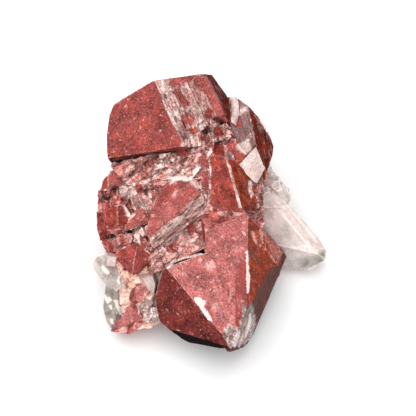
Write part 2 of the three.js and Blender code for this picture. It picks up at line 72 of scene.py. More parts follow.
# Crystals on the sheet. face: x, y, height, heading and tilt of the main face. outline: x and y of each
# corner of the crystal's edge. wall: the tilt of its sides, 90 where they run straight back. turns: more
# faces, each bent down from an earlier one along a line, as parent, x1, y1, x2, y2, degrees. back: the
# height at which it ends inside the cluster. looks: of its faces in turn, then sides: of everything else.
# grain: a line on the main face, x1, y1, x2, y2, along which the crystal grew.
Crystal = namedtuple("Crystal", "name face outline wall turns back looks sides grain", defaults=[None])
BIG_FACE = [215, 290, 14, 92.3, 8.5]
BIG_TURNS = [
    [0, 245, 300, 247, 240, CAP_TO_CAP],
    [0, 167, 267, 224, 335, CAP_TO_CAP],
    [1, 253, 297, 281, 250, CAP_TO_PRISM],
    [2, 170, 328, 225, 343, CAP_TO_PRISM],
    [0, 222, 340, 243, 317, 25],
    [0, 234.5, 322, 236.5, 258, 5],
]
# The fifth face, under the big crystal, and the walls of its lower part are painted near-black as shadow.
BIG_LOOKS = ["dusty", "amber", "maroon", "umber", "painted_shadow", "fractured", "flame"]
BIG_GRAIN = [252, 214, 281, 250]
CRYSTALS = [
    # The top crystal's third face, the underside of its overhang, takes shade: painted shade.
    Crystal("top", [145, 125, 11, 200, 8],
        [108, 135, 111, 115, 117, 102, 122, 99, 141, 87, 158, 82, 177, 71.5, 195, 65.5, 208, 70.5, 223, 89,
         230, 101, 235, 127, 225, 138, 168, 157, 110, 165, 108, 152],
        [94, 94, 96, 102, 102, 99, 98, 98, 96, 96, 96, 96, 85, 88, 94, 94],
        [[0, 181, 140, 157, 87, CAP_TO_PRISM], [0, 110, 159, 166, 150.5, 80], [0, 124, 96, 113, 158, 12],
         [1, 223, 122, 204, 74, 32], [1, 182, 143, 233, 113, 28]], -15,
        ["brick", "banded", "shade", "brick", "wine", "banded"], "brick", [157, 87, 181, 140]),
    Crystal("big lower", BIG_FACE,
        [156, 293, 163, 268, 167, 266, 205, 252, 265, 236, 281, 249, 287.5, 257, 252, 337, 246, 343,
         222, 346, 190, 342.5, 178, 336, 160, 321, 157, 306],
        [92, 92, 75, 75, 90, 90, 93, 93, 90, 92, 97, 97, 95, 94], BIG_TURNS, -14, BIG_LOOKS, "painted_shadow",
        BIG_GRAIN),
    Crystal("big tip", BIG_FACE, [218, 334, 246, 326, 251, 337, 247, 344, 240, 347, 232, 349, 226, 349],
        [80, 85, 93, 91, 91, 92, 95], BIG_TURNS, -2, BIG_LOOKS, "fractured", BIG_GRAIN),
    Crystal("big upper", BIG_FACE,
        [196, 232, 208, 228, 230, 215, 247, 210, 252, 214, 261, 229, 281, 250, 280, 268, 206, 268, 206, 252,
         197, 242], [55, 45, 50, 60, 85, 88, 92, 94, 80, 80, 70],
        [BIG_TURNS[0], [1, 251, 210, 268, 232, 25]], -14, ["dusty", "amber", "amber"], "druse", BIG_GRAIN),
    Crystal("centre", [175, 205, 8, 131.9, 6],
        [147, 236, 154, 206, 163, 186, 172, 181, 196, 184, 204, 196, 212, 210, 164, 258, 150, 240],
        [72, 76, 76, 70, 62, 70, 70, 80, 60], [[0, 152, 236.5, 200.5, 193.5, CAP_TO_PRISM]], -10,
        ["rose", "banded"], "rubble", [200, 194, 152, 237]),
    Crystal("right middle", [222, 180, 8, 195, 10],
        [206, 166, 212, 156, 229, 156, 240, 166, 251, 181, 258, 197, 256, 209, 232, 213, 209, 206,
         204, 198], [80, 60, 60, 85, 88, 88, 80, 60, 60, 80],
        [[0, 237.5, 204, 225.5, 160, 20], [1, 240.5, 204, 228.5, 160, 30], [0, 211.5, 160, 210.5, 200, 40]],
        -14, ["ember", "bevel_highlight", "amber", "rubble"], "rubble", [222, 160, 238, 203]),
    Crystal("upper right", [245, 130, 3.5, 150, 12],
        [224, 97, 238, 98, 252, 110, 263, 121, 269, 132, 273.5, 147, 272, 157, 262, 184, 247, 187, 226, 172,
         220, 130], [110, 110, 106, 100, 97, 95, 92, 92, 80, 80, 95], [[0, 260, 165, 249, 111, 45]], -26,
        ["smoky_sheen", "wine"], "wine", [249, 111, 260, 165]),
    Crystal("clear right", [285, 225, -9, 215, 12],
        [250, 192, 268, 199, 282, 200, 292, 206, 320, 238, 329, 252, 327, 261, 314, 271, 300, 272, 283, 273,
         255, 264], 95, [[0, 313, 247, 281, 199, 45], [0, 270, 244, 312, 253, 40]], -20, [], "milky",
        [281, 199, 313, 247]),
    Crystal("clear right, behind", [272, 185, -10, 60, 25],
        [255, 160, 270, 167, 277, 173, 285, 184, 294, 197, 289, 208, 255, 208], 96, [], -24, [], "milky",
        [270, 167, 294, 197]),
    Crystal("left top", [117, 178, 4, 110, 20],
        [103, 181, 111, 172, 121, 168, 131, 178, 119, 187, 102, 188], [95, 95, 88, 74, 66, 95],
        [[0, 109, 189, 107, 170, 25]], -12, ["rose", "brick"], "druse"),
    Crystal("left druse", [112, 198, 1.5, 190, 15],
        [97, 212, 99, 200, 101, 189, 110, 185, 126, 186, 130, 205, 118, 212], [95, 95, 95, 70, 74, 74, 70],
        [], -12, ["druse"], "druse"),
    Crystal("left block", [113, 217, 5.4, 200, 20],
        [106, 213, 112, 207, 126, 206, 132, 217, 125, 228, 108, 229], [88, 70, 66, 70, 72, 85],
        [[0, 119, 229, 118, 206, 30]], -10, ["ember", "maroon"], "druse"),
    Crystal("left block, low", [115, 231, 4.3, 265, 25], [107, 226, 126, 225, 126, 232, 118, 237, 108, 236],
        [70, 70, 75, 80, 85], [], -10, ["rugged"], "maroon"),
    Crystal("left knob", [129, 190, 5.6, 60, 14],
        [119, 187, 131, 182, 139, 189, 136, 197, 128, 198, 121, 194], [76, 70, 70, 70, 76, 80],
        [[0, 136, 186, 124, 196, 20]], -1, ["frost_and_glint", "rubble"], "rubble"),
    Crystal("left chip", [138, 184, 6.6, 100, 20], [133, 180, 141, 180, 142.5, 187, 138, 190, 134.5, 186],
        70, [], 0, ["flame"], "druse"),
    Crystal("left rim", [102, 225, 0, 180, 30], [96, 212, 106, 209, 109, 236, 100, 240, 97, 230],
        [95, 88, 88, 92, 95], [], -10, ["brick"], "druse"),
    Crystal("left wedge", [138, 219, 7, 120, 12], [125, 226, 141, 208, 150, 221, 127, 231],
        [70, 70, 88, 88], [], -8, ["rose"], "rubble"),
    Crystal("left low", [127, 239, 3, 250, 20],
        [114, 236, 138, 231, 141, 242, 128, 248, 107, 253, 102, 242], [60, 60, 60, 70, 95, 95], [], -8,
        ["druse"], "druse"),
    Crystal("left low, upper", [126, 238, 5, 100, 10], [117, 237, 126, 233, 135, 233, 132, 242, 119, 245],
        [64, 64, 64, 76, 76], [], -6, ["rugged"], "druse"),
    Crystal("left low, right", [142, 244, 6, 200, 15], [134, 241, 145, 237, 149, 243, 143, 252, 134, 248],
        [64, 70, 66, 60, 64], [[0, 143, 252, 141, 238, 25]], -6, ["rose", "rubble"], "rubble"),
    Crystal("pyramid", [126, 260, 5, 215, 22],
        [118, 252, 128, 246, 140, 245, 151, 256, 150, 261, 133, 275, 117, 259],
        [80, 70, 70, 74, 78, 78, 80], [[0, 132.5, 275, 138, 246, 32]], -6, ["brick", "brick"], "druse"),
    Crystal("clear left", [116, 300, -2, 200, 15],
        [106, 280, 127, 276, 135, 293, 127, 312, 113, 332, 106, 322, 102.5, 308],
        [94, 60, 60, 80, 94, 96, 96], [[0, 127, 276, 112, 330, 35]], -13, [], "clear",
        [116, 280, 112, 330]),
    Crystal("clear left, tongue", [110, 272, 3, 150, 25],
        [93, 262, 97, 257, 108, 254, 118, 266, 125, 284, 117, 291, 106, 284, 94, 269], 90, [], -5, [],
        "clear", [94, 262, 125, 284]),
    Crystal("foot", [128, 318, 1, 250, 15], [111, 331, 131, 303, 144, 322, 139, 330, 127, 334],
        [88, 60, 85, 94, 96], [[0, 113, 331, 137, 322, 30]], -12, ["bruise", "druse"], "druse"),
    Crystal("foot, small", [142, 292, 4, 240, 10], [134, 298, 136, 286, 146, 283, 150, 292, 143, 302], 72,
        [], -4, ["bloom"], "druse"),
    Crystal("foot, clear block", [149, 282, 4.6, 150, 14],
        [144, 279, 153, 276, 156, 284, 154.5, 292, 147, 287], [64, 70, 80, 74, 60], [], -6, ["alabaster"],
        "alabaster"),
    Crystal("pale cube", [113, 260, 6.4, 120, 12], [108.5, 255, 117.5, 256.5, 116, 266, 107.5, 265], 84, [],
        -4, ["alabaster"], "alabaster"),
    Crystal("pale wedge", [234, 110, 3.3, 170, 10], [228, 97, 238, 98.5, 239.5, 113, 236, 127, 231, 122],
        [100, 100, 66, 66, 85], [], -8, ["alabaster"], "wine"),
    Crystal("flat by the block", [236, 152, 4.4, 150, 10],
        [224, 146, 234, 140, 247, 154, 240, 165, 229, 157], [66, 66, 74, 74, 60], [], -6, ["brick"],
        "druse"),
    Crystal("splinter", [205, 180, 7.4, 190, 10], [200, 173, 208, 169, 209.5, 190, 202, 188], 70, [], -6,
        ["brick"], "rubble"),
    Crystal("pale block", [251, 166, 5.5, 150, 12],
        [238.5, 165.5, 255, 147, 265, 168, 256.5, 184, 249, 179], [60, 75, 92, 90, 60], [], -6,
        ["alabaster"], "wine"),
    Crystal("matrix, under top", [175, 165, 6.8, 100, 7],
        [112, 166, 186, 145, 214, 140, 214, 160, 205, 188, 172, 186, 150, 192, 128, 185],
        [85, 80, 80, 75, 60, 60, 60, 97], [], -8, ["rubble"], "rubble", [160, 190, 200, 150]),
    Crystal("matrix, right of centre", [206, 190, 6, 60, 10], [197, 178, 212, 168, 214, 212, 205, 208], 70,
        [], -8, ["rubble"], "rubble", [204, 160, 206, 200]),
    Crystal("matrix, left of centre", [140, 200, 5, 150, 14],
        [131, 174, 150, 178, 168, 186, 158, 208, 149, 240, 142, 248, 135, 235, 130, 205],
        [75, 75, 70, 70, 70, 70, 70, 70], [], -8, ["rubble"], "rubble", [130, 180, 150, 220]),
    Crystal("matrix, under centre", [188, 243, 8.2, 130, 40],
        [149, 246, 203, 201, 212, 212, 209, 256, 167, 268, 156, 274, 149, 264],
        [90, 80, 80, 90, 90, 80, 80], [], -8, ["rubble"], "rubble", [160, 260, 210, 218]),
    Crystal("matrix, right", [244, 160, 3.8, 120, 10],
        [218, 148, 224, 138, 240, 132, 262, 150, 267, 178, 260, 193, 248, 190, 232, 172],
        [80, 80, 90, 93, 93, 90, 80, 80], [], -8, ["druse"], "druse"),
    Crystal("matrix, low", [145, 295, 1, 230, 12],
        [122, 262, 156, 258, 165, 290, 163, 321, 150, 327, 137, 330, 122, 312, 118, 285],
        [80, 80, 90, 94, 97, 97, 80, 88], [], -14, ["peach"], "rubble"),
    Crystal("matrix, core", [185, 200, -1, 90, 4],
        [122, 160, 175, 130, 235, 128, 262, 172, 264, 215, 262, 262, 165, 300, 125, 285, 110, 245,
         110, 190], [100, 108, 108, 98, 95, 97, 100, 100, 97, 97], [], -46, ["rubble"], "rubble",
        [160, 240, 230, 180]),
]

# Ledges: low steps left where a striated face grew unevenly. quad: x and y of the step's corners. rise: how
# far it stands proud of that face, in mm.
Ledge = namedtuple("Ledge", "on face quad rise")
LEDGES = [
    Ledge("top", 1, [161, 98, 164, 96, 181, 133, 178, 134], 0.35),
    Ledge("top", 1, [169, 88, 173, 86, 192, 130, 188, 132], 0.5),
    Ledge("top", 1, [179, 84, 186, 81, 204, 121, 198, 126], 0.7),
    Ledge("top", 1, [191, 82, 195, 79, 213, 119, 209, 122], 0.4),
    Ledge("top", 1, [200, 78, 206, 78, 224, 114, 218, 118], 0.55),
    Ledge("centre", 1, [201, 199, 204, 202, 160, 242, 157, 239], 0.45),
    Ledge("centre", 1, [207, 204, 210, 209, 168, 248, 163, 245], 0.7),
    Ledge("big lower", 1, [262, 238, 266, 237, 279, 252, 275, 257], 0.45),
    Ledge("right middle", 2, [236, 168, 240, 170, 250, 192, 246, 196], 0.5),
    Ledge("upper right", 1, [256, 119, 260, 123, 268, 156, 264, 160], 0.55),
    Ledge("upper right", 0, [240, 110, 246, 112, 252, 140, 246, 143], 0.5),
]

# Whole crystals round the sides and back, in the part's own frame. base: where the axis starts. aim: the
# axis's heading and climb. side: from the axis to a prism face. length: from the start to the shoulder.
# roll: turn about the axis. caps: how much later each cap face starts than the shoulder.
Point = namedtuple("Point", "base aim side length roll caps")
POINTS = [
    Point([-12, 15, 11], [112, 6], 6, 13, 10, [0, 2, 1, 3, 0, 1.5]),
    Point([3, 15, 12], [75, -4], 5.5, 12, 25, [0, 1.5, 0.5, 3, 1, 2]),
    Point([-5, 17, 5], [92, 4], 4.5, 12, 0, [0, 2, 0, 2, 0, 2]),
    Point([-4, 15, 20], [98, 16], 5, 12, 20, [0, 1, 2, 0.5, 1, 0]),
    Point([-14, 4, 13], [172, 8], 5.5, 5, 15, [0, 1.5, 0.5, 2, 1, 2]),
    Point([-15, 14, 7], [150, 2], 4, 6, 5, [0, 1, 0.5, 2, 1, 1]),
    Point([-12, -8, 7], [200, 6], 4.5, 4, 40, [0, 1.5, 0.5, 2, 1, 2]),
    Point([9, 6, 8], [25, -6], 4.8, 5, 10, [0, 2, 1, 3, 0, 1.5]),
    Point([6, 12, 13], [56, 6], 4.5, 8, 44, [0, 2, 0, 2, 0, 2]),
    Point([4, -8, 6], [-50, -2], 5, 5, 33, [0, 2, 1, 3, 0, 1.5]),
    Point([-4, -9, 5], [255, 2], 5, 4, 12, [0, 1, 2, 0, 1, 2]),
]

# Broken quartz: runs of angular lumps. The ends of a sheet run are x, y and height on the sheet. Those of a
# plain run are in the part's frame. size: the lumps' mean half-width.
Run = namedtuple("Run", "start end spread count size seed look")
SHEET_RUNS = [
    Run([116, 169, 4.5], [160, 163, 6], 1, 10, 1.2, 11, "rubble"),
    Run([140, 178, 4.8], [172, 176, 6.2], 1, 7, 1.1, 47, "rubble"),
    Run([168, 158, 6.2], [205, 152, 6.8], 1.4, 9, 1.3, 29, "rubble"),
    Run([186, 142, 6], [230, 129, 4], 0.9, 11, 1.3, 5, "rubble"),
    Run([104, 192, 1.6], [122, 205, 3], 1.3, 14, 1.1, 17, "druse"),
    Run([126, 184, 3.2], [152, 200, 4.6], 1, 7, 1.2, 3, "rubble"),
    Run([158, 262, 7.6], [206, 226, 6.6], 0.8, 10, 1.2, 41, "rubble"),
    Run([204, 160, 5.6], [204, 200, 5.6], 0.6, 6, 1, 8, "rubble"),
    Run([251, 184, 3.2], [257, 206, 2.6], 0.6, 5, 1.1, 23, "rubble"),
    Run([225, 133, 4.4], [240, 144, 3.6], 0.5, 5, 0.9, 31, "rubble"),
    Run([130, 272, 2.4], [150, 298, 2], 1.6, 10, 1.3, 13, "peach"),
    Run([143, 303, 2.4], [155, 318, 1.4], 1.3, 10, 1.4, 52, "snow"),
    Run([118, 264, 3], [131, 290, 1.5], 0.8, 6, 1.1, 19, "peach"),
]
PLAIN_RUNS = [
    Run([-20, 8, 5], [-6, 25, 7], 2.5, 7, 3.2, 2, "rubble"),
    Run([4, 24, 6], [16, 12, 8], 2.5, 7, 3, 7, "rubble"),
    Run([-20, -4, 9], [-16, 12, 20], 2, 7, 2.6, 14, "rubble"),
    Run([-14, -12, 3], [10, -14, 4], 2.5, 8, 3, 21, "rubble"),
    Run([16, 4, 5], [14, -10, 6], 2, 6, 2.8, 26, "rubble"),
    Run([-14, 24, 22], [6, 24, 20], 2, 6, 2.4, 33, "rubble"),
]

# Holes broken into the ends of the crystals, their walls painted dark as shade: x, y and height on the sheet,
# and the half-width.
PITS = [
    [207, 132, 5.5, 1.3], [223, 122, 4.5, 1.4], [112, 238, 3.5, 1.2], [243, 340, 10, 1.3],
    [158, 262, 4.5, 1.2],
]

POINT_ROOT_MM = 8
LEDGE_WALL_DEG = 78
LEDGE_ROOT_MM = 1.5
LUMP_FACETS = 10
LUMP_STRETCH = 0.45  # how far a lump's three half-widths stray from the mean, as a share
LUMP_FLATTEN = 0.25  # how far a facet may cut inside the lump's own ellipsoid, as a share
LUMP_LEAST, LUMP_SWING = 0.7, 0.6  # its size: the least share of the run's, and the most on top of it
LUMP_STRAY = [1, 1, 0.5]  # how it strays from the run's line in x, y and height, as shares of the spread
LUMP_GROWN = np.array([0.5, 0.6, 0.6])
# A face that is nearly square to the way its crystal grew takes its growth lines from another way.
STEEP, SPARE_GROWN = 0.1, [0.6, 0.8, 0.0]

# What each habit of quartz looks like. tint and vein: the two colours that it is mottled in, sRGB. mottle:
# how much of the vein, or how see-through a clear one is. gloss: its roughness. speckle: pale dust.
# streak: growth lines. grit: broken crumbs. relief: how its surface departs from the plane, and depth: by
# how much, in mm. finish: which of the FINISHES it has.
Look = namedtuple("Look", "tint vein mottle gloss speckle streak grit relief depth finish")
LOOKS = {
    "brick": Look((148, 62, 54), (112, 54, 56), 0.7, 0.5, 0.6, 0.0, 0.0, "flat", 0.07, "satin"),
    "dusty": Look((172, 97, 93), (142, 68, 66), 0.7, 0.45, 1.0, 0.0, 0.0, "flat", 0.07, "satin"),
    "rose": Look((160, 80, 74), (134, 60, 58), 0.7, 0.5, 0.6, 0.0, 0.0, "flat", 0.07, "satin"),
    "flame": Look((146, 44, 36), (116, 34, 32), 0.6, 0.3, 0.3, 0.0, 0.0, "flat", 0.05, "polished"),
    "amber": Look((138, 46, 16), (92, 34, 20), 0.8, 0.3, 0.2, 0.1, 0.0, "stepped", 0.06, "satin"),
    "ember": Look((152, 56, 42), (106, 40, 37), 0.9, 0.35, 0.3, 0.0, 0.05, "flat", 0.07, "satin"),
    "maroon": Look((118, 48, 43), (72, 30, 30), 0.7, 0.55, 0.55, 0.0, 0.0, "flat", 0.07, "dull"),
    "umber": Look((88, 38, 25), (60, 26, 16), 0.5, 0.5, 0.02, 0.1, 0.0, "flat", 0.04, "dull"),
    # Painted shadow: near-black, for the underside and walls of the big crystal's lower part.
    "painted_shadow": Look((24, 8, 7), (12, 4, 4), 0.7, 0.8, 0.0, 0.0, 0.0, "flat", 0.08, "dull"),
    "rugged": Look((164, 74, 66), (108, 42, 40), 0.8, 0.4, 0.6, 0.0, 0.4, "broken", 0.45, "satin"),
    # shade is painted shade: dark red-brown for the underside of the top crystal's overhang and a patch at
    # its right end.
    "shade": Look((96, 36, 31), (54, 20, 18), 0.8, 0.7, 0.0, 0.0, 0.1, "stepped", 0.2, "dull"),
    # smoky is grey-red glass whose grey is partly a painted sheen of reflection.
    "smoky_sheen": Look((120, 82, 80), (92, 40, 42), 0.7, 0.2, 0.15, 0.15, 0.05, "stepped", 0.06, "polished"),
    "banded": Look((204, 171, 162), (150, 64, 58), 0.9, 0.42, 0.1, 0.9, 0.45, "stepped", 0.3, "satin"),
    "wine": Look((76, 22, 16), (116, 46, 30), 0.6, 0.45, 0.05, 0.2, 0.0, "stepped", 0.06, "dull"),
    "rubble": Look((240, 190, 181), (176, 86, 78), 0.75, 0.45, 0.0, 0.35, 0.85, "broken", 0.75, "satin"),
    "druse": Look((220, 122, 114), (150, 64, 58), 0.8, 0.4, 0.3, 0.0, 0.7, "broken", 0.5, "satin"),
    "peach": Look((250, 214, 196), (224, 154, 134), 0.8, 0.4, 0.0, 0.0, 0.2, "broken", 0.3, "satin"),
    # frost is a pale crust, and is also used for painted highlights and glints along edges.
    "frost_and_glint": Look((232, 208, 200), (210, 164, 156), 0.6, 0.45, 0.2, 0.2, 0.12, "flat", 0.12, "satin"),
    "snow": Look((232, 208, 200), (170, 120, 112), 0.6, 0.4, 0.3, 0.0, 0.6, "broken", 0.3, "satin"),
    "fractured": Look((206, 182, 176), (110, 76, 72), 1.0, 0.25, 0.4, 0.6, 0.5, "broken", 0.3, "polished"),
    "alabaster": Look((206, 190, 184), (186, 150, 143), 0.8, 0.35, 0.0, 0.0, 0.06, "flat", 0.12, "polished"),
    "bruise": Look((146, 84, 84), (170, 92, 88), 0.8, 0.5, 0.7, 0.0, 0.0, "flat", 0.07, "satin"),
    "bloom": Look((206, 138, 132), (166, 82, 78), 1.0, 0.5, 1.0, 0.0, 0.25, "flat", 0.1, "satin"),
    # bevel is a painted highlight: a pale strip along the right middle crystal's ridge.
    "bevel_highlight": Look((226, 190, 184), (150, 62, 52), 1.0, 0.35, 1.0, 0.5, 0.2, "stepped", 0.12, "polished"),
    "milky": Look((238, 224, 220), (230, 214, 208), 0.33, 0.14, 0.0, 0.0, 0.0, "stepped", 0.05, "satin"),
    "scaly": Look((146, 60, 40), (170, 88, 74), 0.7, 0.4, 0.7, 0.0, 0.3, "broken", 0.12, "satin"),
    "glass": Look((70, 52, 50), (140, 116, 112), 0.6, 0.12, 0.0, 0.5, 0.2, "stepped", 0.15, "polished"),
    "sawn": Look((150, 116, 108), (120, 70, 66), 0.8, 0.6, 0.1, 0.0, 0.3, "flat", 0.0, "satin"),
    # pit is painted shade: dark red-brown in the holes and in the gaps between small crystals and lumps.
    "pit": Look((84, 42, 38), (60, 28, 26), 0.6, 0.6, 0.0, 0.0, 0.4, "broken", 0.2, "dull"),
    # A painted highlight band on the clear right crystal: milkier and lighter.
    "highlight_band": Look((238, 224, 219), (228, 206, 199), 0.2, 0.14, 0.0, 0.0, 0.0, "stepped", 0.05, "satin"),
    "moss": Look((226, 220, 208), (188, 184, 168), 0.6, 0.1, 0.0, 0.0, 0.0, "stepped", 0.05, "satin"),
    "clear": Look((244, 232, 226), (212, 202, 194), 0.7, 0.06, 0.0, 0.0, 0.0, "stepped", 0.05, "satin"),
}
# Each finish's material: how strongly it reflects, and the weight of its glassy coat.
FINISHES = {"satin": (0.12, 0.0), "polished": (0.22, 0.05), "dull": (0.02, 0.0)}

# The clear pieces: their look, their crystals, and their run of lumps on the sheet.
CLEAR = {
    "clear_crystal_right": (
        "milky", ["clear right", "clear right, behind"],
        Run([262, 172, -10], [286, 200, -11], 1.3, 9, 1.5, 37, "milky"),
    ),
    "clear_crystal_left": (
        "clear", ["clear left", "clear left, tongue"],
        Run([106, 296, 0], [122, 308, 0], 0.9, 6, 1.2, 61, "clear"),
    ),
}

# Where a face takes another look: a stain, a crust, a fresh break, painted shade in a pit or gap, a painted
# highlight. x and y of the corners of the patch on the sheet. A later patch covers an earlier one.
STAINS_AND_PAINTED_LIGHT = [
    ("wine", [206, 70, 223, 88, 231, 101, 233, 118, 229, 122, 218, 98, 206, 77]),
    ("rose", [192, 76, 206, 76, 222, 104, 228, 122, 220, 121, 206, 96, 196, 88]),
    ("rose", [168, 78, 190, 72, 196, 80, 182, 88, 170, 88]),
    ("rose", [172, 92, 180, 90, 190, 106, 184, 110]),
    ("rose", [181, 118, 190, 112, 196, 124, 186, 130]),
    ("ember", [204, 111, 209, 107, 214, 113, 210, 120, 205, 118]),
    # The next two patches are painted shade at the top crystal's right end.
    ("shade", [209, 119, 216, 117, 225, 121, 222, 127, 214, 123]),
    ("pit", [200, 129, 205, 126, 210, 127, 212, 132, 207, 136, 201, 135]),
    ("ember", [198, 136, 205, 137, 206, 142, 199, 143]),
    ("ember", [188, 130, 195, 127, 199, 132, 193, 137]),
    ("ember", [214, 126, 223, 128, 224, 137, 216, 138]),
    ("flame", [237, 120, 241, 122, 241, 129, 237, 127]),
    ("frost_and_glint", [238, 110, 246, 107, 246, 112, 239, 116]),
    ("alabaster", [235, 147, 240, 143, 248, 139, 252, 150, 246, 155, 239, 151]),
    # A painted reflection along the upper right crystal's outline.
    ("smoky_sheen", [256, 116, 266, 126, 273, 140, 273, 146, 266, 134, 257, 121]),
    ("ember", [211, 145, 222, 143, 226, 158, 214, 160]),
    ("brick", [176, 150, 188, 147, 190, 156, 180, 160]),
    ("brick", [196, 158, 206, 152, 209, 164, 203, 170]),
    ("brick", [144, 162, 154, 160, 156, 166, 146, 168]),
    ("frost_and_glint", [168, 178, 178, 174, 194, 179, 204, 189, 199, 190, 191, 183, 180, 181, 170, 183]),
    ("dusty", [160, 214, 174, 202, 180, 206, 166, 221, 157, 228]),
    ("bloom", [172, 190, 179, 188, 183, 194, 177, 198, 171, 196]),
    ("brick", [158, 192, 172, 184, 176, 190, 166, 202, 158, 206]),
    ("maroon", [220, 166, 228, 168, 229, 174, 226, 180, 222, 174]),
    ("maroon", [228, 190, 233, 192, 236, 200, 231, 200]),
    ("frost_and_glint", [248, 181, 251, 182, 252.5, 195, 250, 199, 248, 190]),
    ("flame", [226, 158, 232, 160, 234, 167, 229, 166]),
    ("flame", [240, 254, 246, 252, 249, 300, 242, 326, 238, 326, 235, 295, 235, 268]),
    ("bruise", [234, 232, 243, 234, 244, 246, 235, 247]),
    ("bruise", [229, 263, 238, 261, 239, 273, 230, 272]),
    ("bloom", [227, 280, 235, 278, 235, 297, 228, 296]),
    ("bruise", [236, 297, 242, 296, 244, 304, 237, 306]),
    ("bloom", [205, 262, 214, 260, 216, 268, 207, 270]),
    ("bloom", [212, 284, 222, 282, 220, 292, 212, 292]),
    ("bloom", [170, 266, 182, 263, 186, 272, 176, 276]),
    ("bloom", [212, 300, 222, 302, 218, 310, 210, 308]),
    ("bruise", [196, 262, 204, 260, 204, 268, 197, 270]),
    ("bruise", [216, 306, 224, 310, 220, 318, 213, 314]),
    ("scaly", [250, 232, 262, 228, 283, 253, 276, 264, 266, 252, 254, 242]),
    ("fractured", [227, 321, 238, 326, 241, 314, 252, 304, 256, 326, 247, 346, 234, 345, 222, 335]),
    ("glass", [241, 305, 251, 301, 253, 313, 248, 319, 242, 317]),
    ("glass", [247, 318, 249.5, 317, 249, 330, 245, 339, 243.5, 337, 246.5, 328]),
    ("glass", [240, 330, 242, 329, 240, 338, 237, 343, 236, 341, 239, 336]),
    ("umber", [222, 344, 233, 347, 244, 344.5, 247.5, 341, 250, 344, 244, 352, 226, 351]),
    # Painted shade in the gaps between the small crystals on the left.
    ("pit", [110, 186.5, 120, 186, 121, 189.5, 111, 191]),
    ("pit", [143.5, 189, 149, 188, 150, 193, 145, 194]),
    ("snow", [136, 203, 142, 201, 148, 205, 149, 210, 146, 209.5, 141, 205.5]),
    ("pit", [125, 230, 131, 228.5, 139, 225, 147, 221.5, 148, 224.5, 140, 229, 132, 233, 125, 233]),
    ("snow", [121, 186, 129, 183, 137, 188, 138, 196, 131, 201, 125, 196]),
    ("pit", [100, 195, 110, 194, 112, 198, 106, 201, 100, 200]),
    ("maroon", [94, 214, 103, 213, 104, 224, 96, 226]),
    ("maroon", [97, 232, 105, 230, 108, 238, 102, 242]),
    ("brick", [196, 231, 205, 230, 207, 240, 200, 241]),
    ("brick", [140, 236, 148, 234, 150, 240, 142, 243]),
    ("frost_and_glint", [124, 207, 128, 207, 132, 217, 129, 218]),
    ("ember", [186, 226, 194, 222, 197, 230, 189, 234]),
    ("brick", [166, 246, 176, 242, 179, 249, 169, 252]),
]
# The same on the clear crystals: mossy ends, and milkier bands painted lighter as highlights along the edges.
CLEAR_STAINS_AND_HIGHLIGHTS = [
    ("highlight_band", [256, 194, 274, 194, 284, 214, 272, 232, 256, 216]),
    ("moss", [300, 263, 307, 257, 318, 252.5, 329, 251, 330, 256, 325, 262, 313, 269, 302, 269]),
    ("highlight_band", [272, 198, 281, 194, 300, 214, 328, 249, 312, 250, 290, 222]),
    ("highlight_band", [284, 240, 290, 243, 298, 249, 306, 246, 314, 252, 326, 249, 318, 256, 300, 258, 288, 254]),
    ("moss", [106, 284, 112, 290, 122, 296, 129, 296, 126, 306, 118, 314, 108, 312, 104, 298]),
]

# White chips and painted highlights: where the edge of a crystal has broken to fresh quartz, and where a
# ridge, an edge or a clear crystal is painted white as a highlight or glint. x and y of the corners on the
# sheet.
CHIPS_AND_HIGHLIGHTS = [
    # A painted highlight along the big crystal's ridge.
    [245, 249, 247.2, 249.5, 249.4, 278, 248.2, 292, 246, 292],
    [193, 296, 199, 295, 206, 299, 204, 305, 209, 311, 213, 320, 207, 317, 201, 308],
    # Painted glints, and a painted reflection along the upper right crystal's outline.
    [249.6, 118.5, 251, 119, 251.2, 122, 250, 122],
    [249.6, 133.5, 251, 134, 251, 137, 250, 137],
    [258, 117, 262, 119.5, 267, 126, 271, 134, 272.5, 142, 270, 138, 265, 129.5, 260, 122],
    # Painted highlights on the big crystal's tip.
    [234, 333, 238.5, 327, 240, 330, 237.5, 340, 234, 346, 231.5, 342],
    [248.5, 312, 250.3, 311, 250.8, 322, 247, 335, 244.5, 338, 247, 324],
    # A white crust along the centre crystal's top edge, partly painted highlight.
    [168, 182, 173, 178, 183, 177, 192, 179, 199.5, 185, 198, 188, 190, 182.5, 181, 180.5],
    # Painted highlights along the edges of the clear right crystal.
    [288, 241.5, 296, 247, 305, 245, 313, 251, 326, 248, 326, 249.2, 313, 252.5, 305, 247, 296, 249],
    [270, 201, 272, 200.4, 292, 223, 312, 248, 310.6, 248.6, 290, 224],
    [279, 196, 280, 195.6, 300, 218, 320, 244, 319, 244.6, 298, 219],
    # Painted glints on the clear left crystal.
    [103.5, 294, 106, 295, 109.5, 302, 107, 304.5, 104, 300],
    [115.5, 307, 119, 305.5, 123, 310, 122.5, 316.5, 118.5, 314.5],
    [108.5, 318, 112, 318.5, 113.8, 325, 110.5, 324.5],
    [106.5, 298, 110, 296.5, 112.5, 300, 109, 303],
    [113, 301, 117.5, 299.5, 120, 304, 115.5, 306],
    [108, 306, 111, 304.5, 113, 309, 110, 311],
    [117.5, 276, 120, 275.5, 121, 284, 118.5, 283.5],
    [101, 266, 104, 264.8, 110.5, 272, 108, 275, 103, 270.5],
    [165, 268, 173, 259.5, 187, 255.5, 202.5, 252, 202, 254, 187, 257.5, 175, 261.5, 169, 268],
]

# ---------------------------------------------------------------- solids as half-spaces
# A plane is (outward normal, offset): points p of the solid have normal . p <= offset.

CLIMB = math.radians(SHEET_CLIMB_DEG)
SHEET_TURN = np.array([
    [1, 0, 0],
    [0, math.sin(CLIMB), -math.cos(CLIMB)],
    [0, math.cos(CLIMB), math.sin(CLIMB)],
])
SHEET_SHIFT = np.array([0, 0, SHEET_HEIGHT_MM])


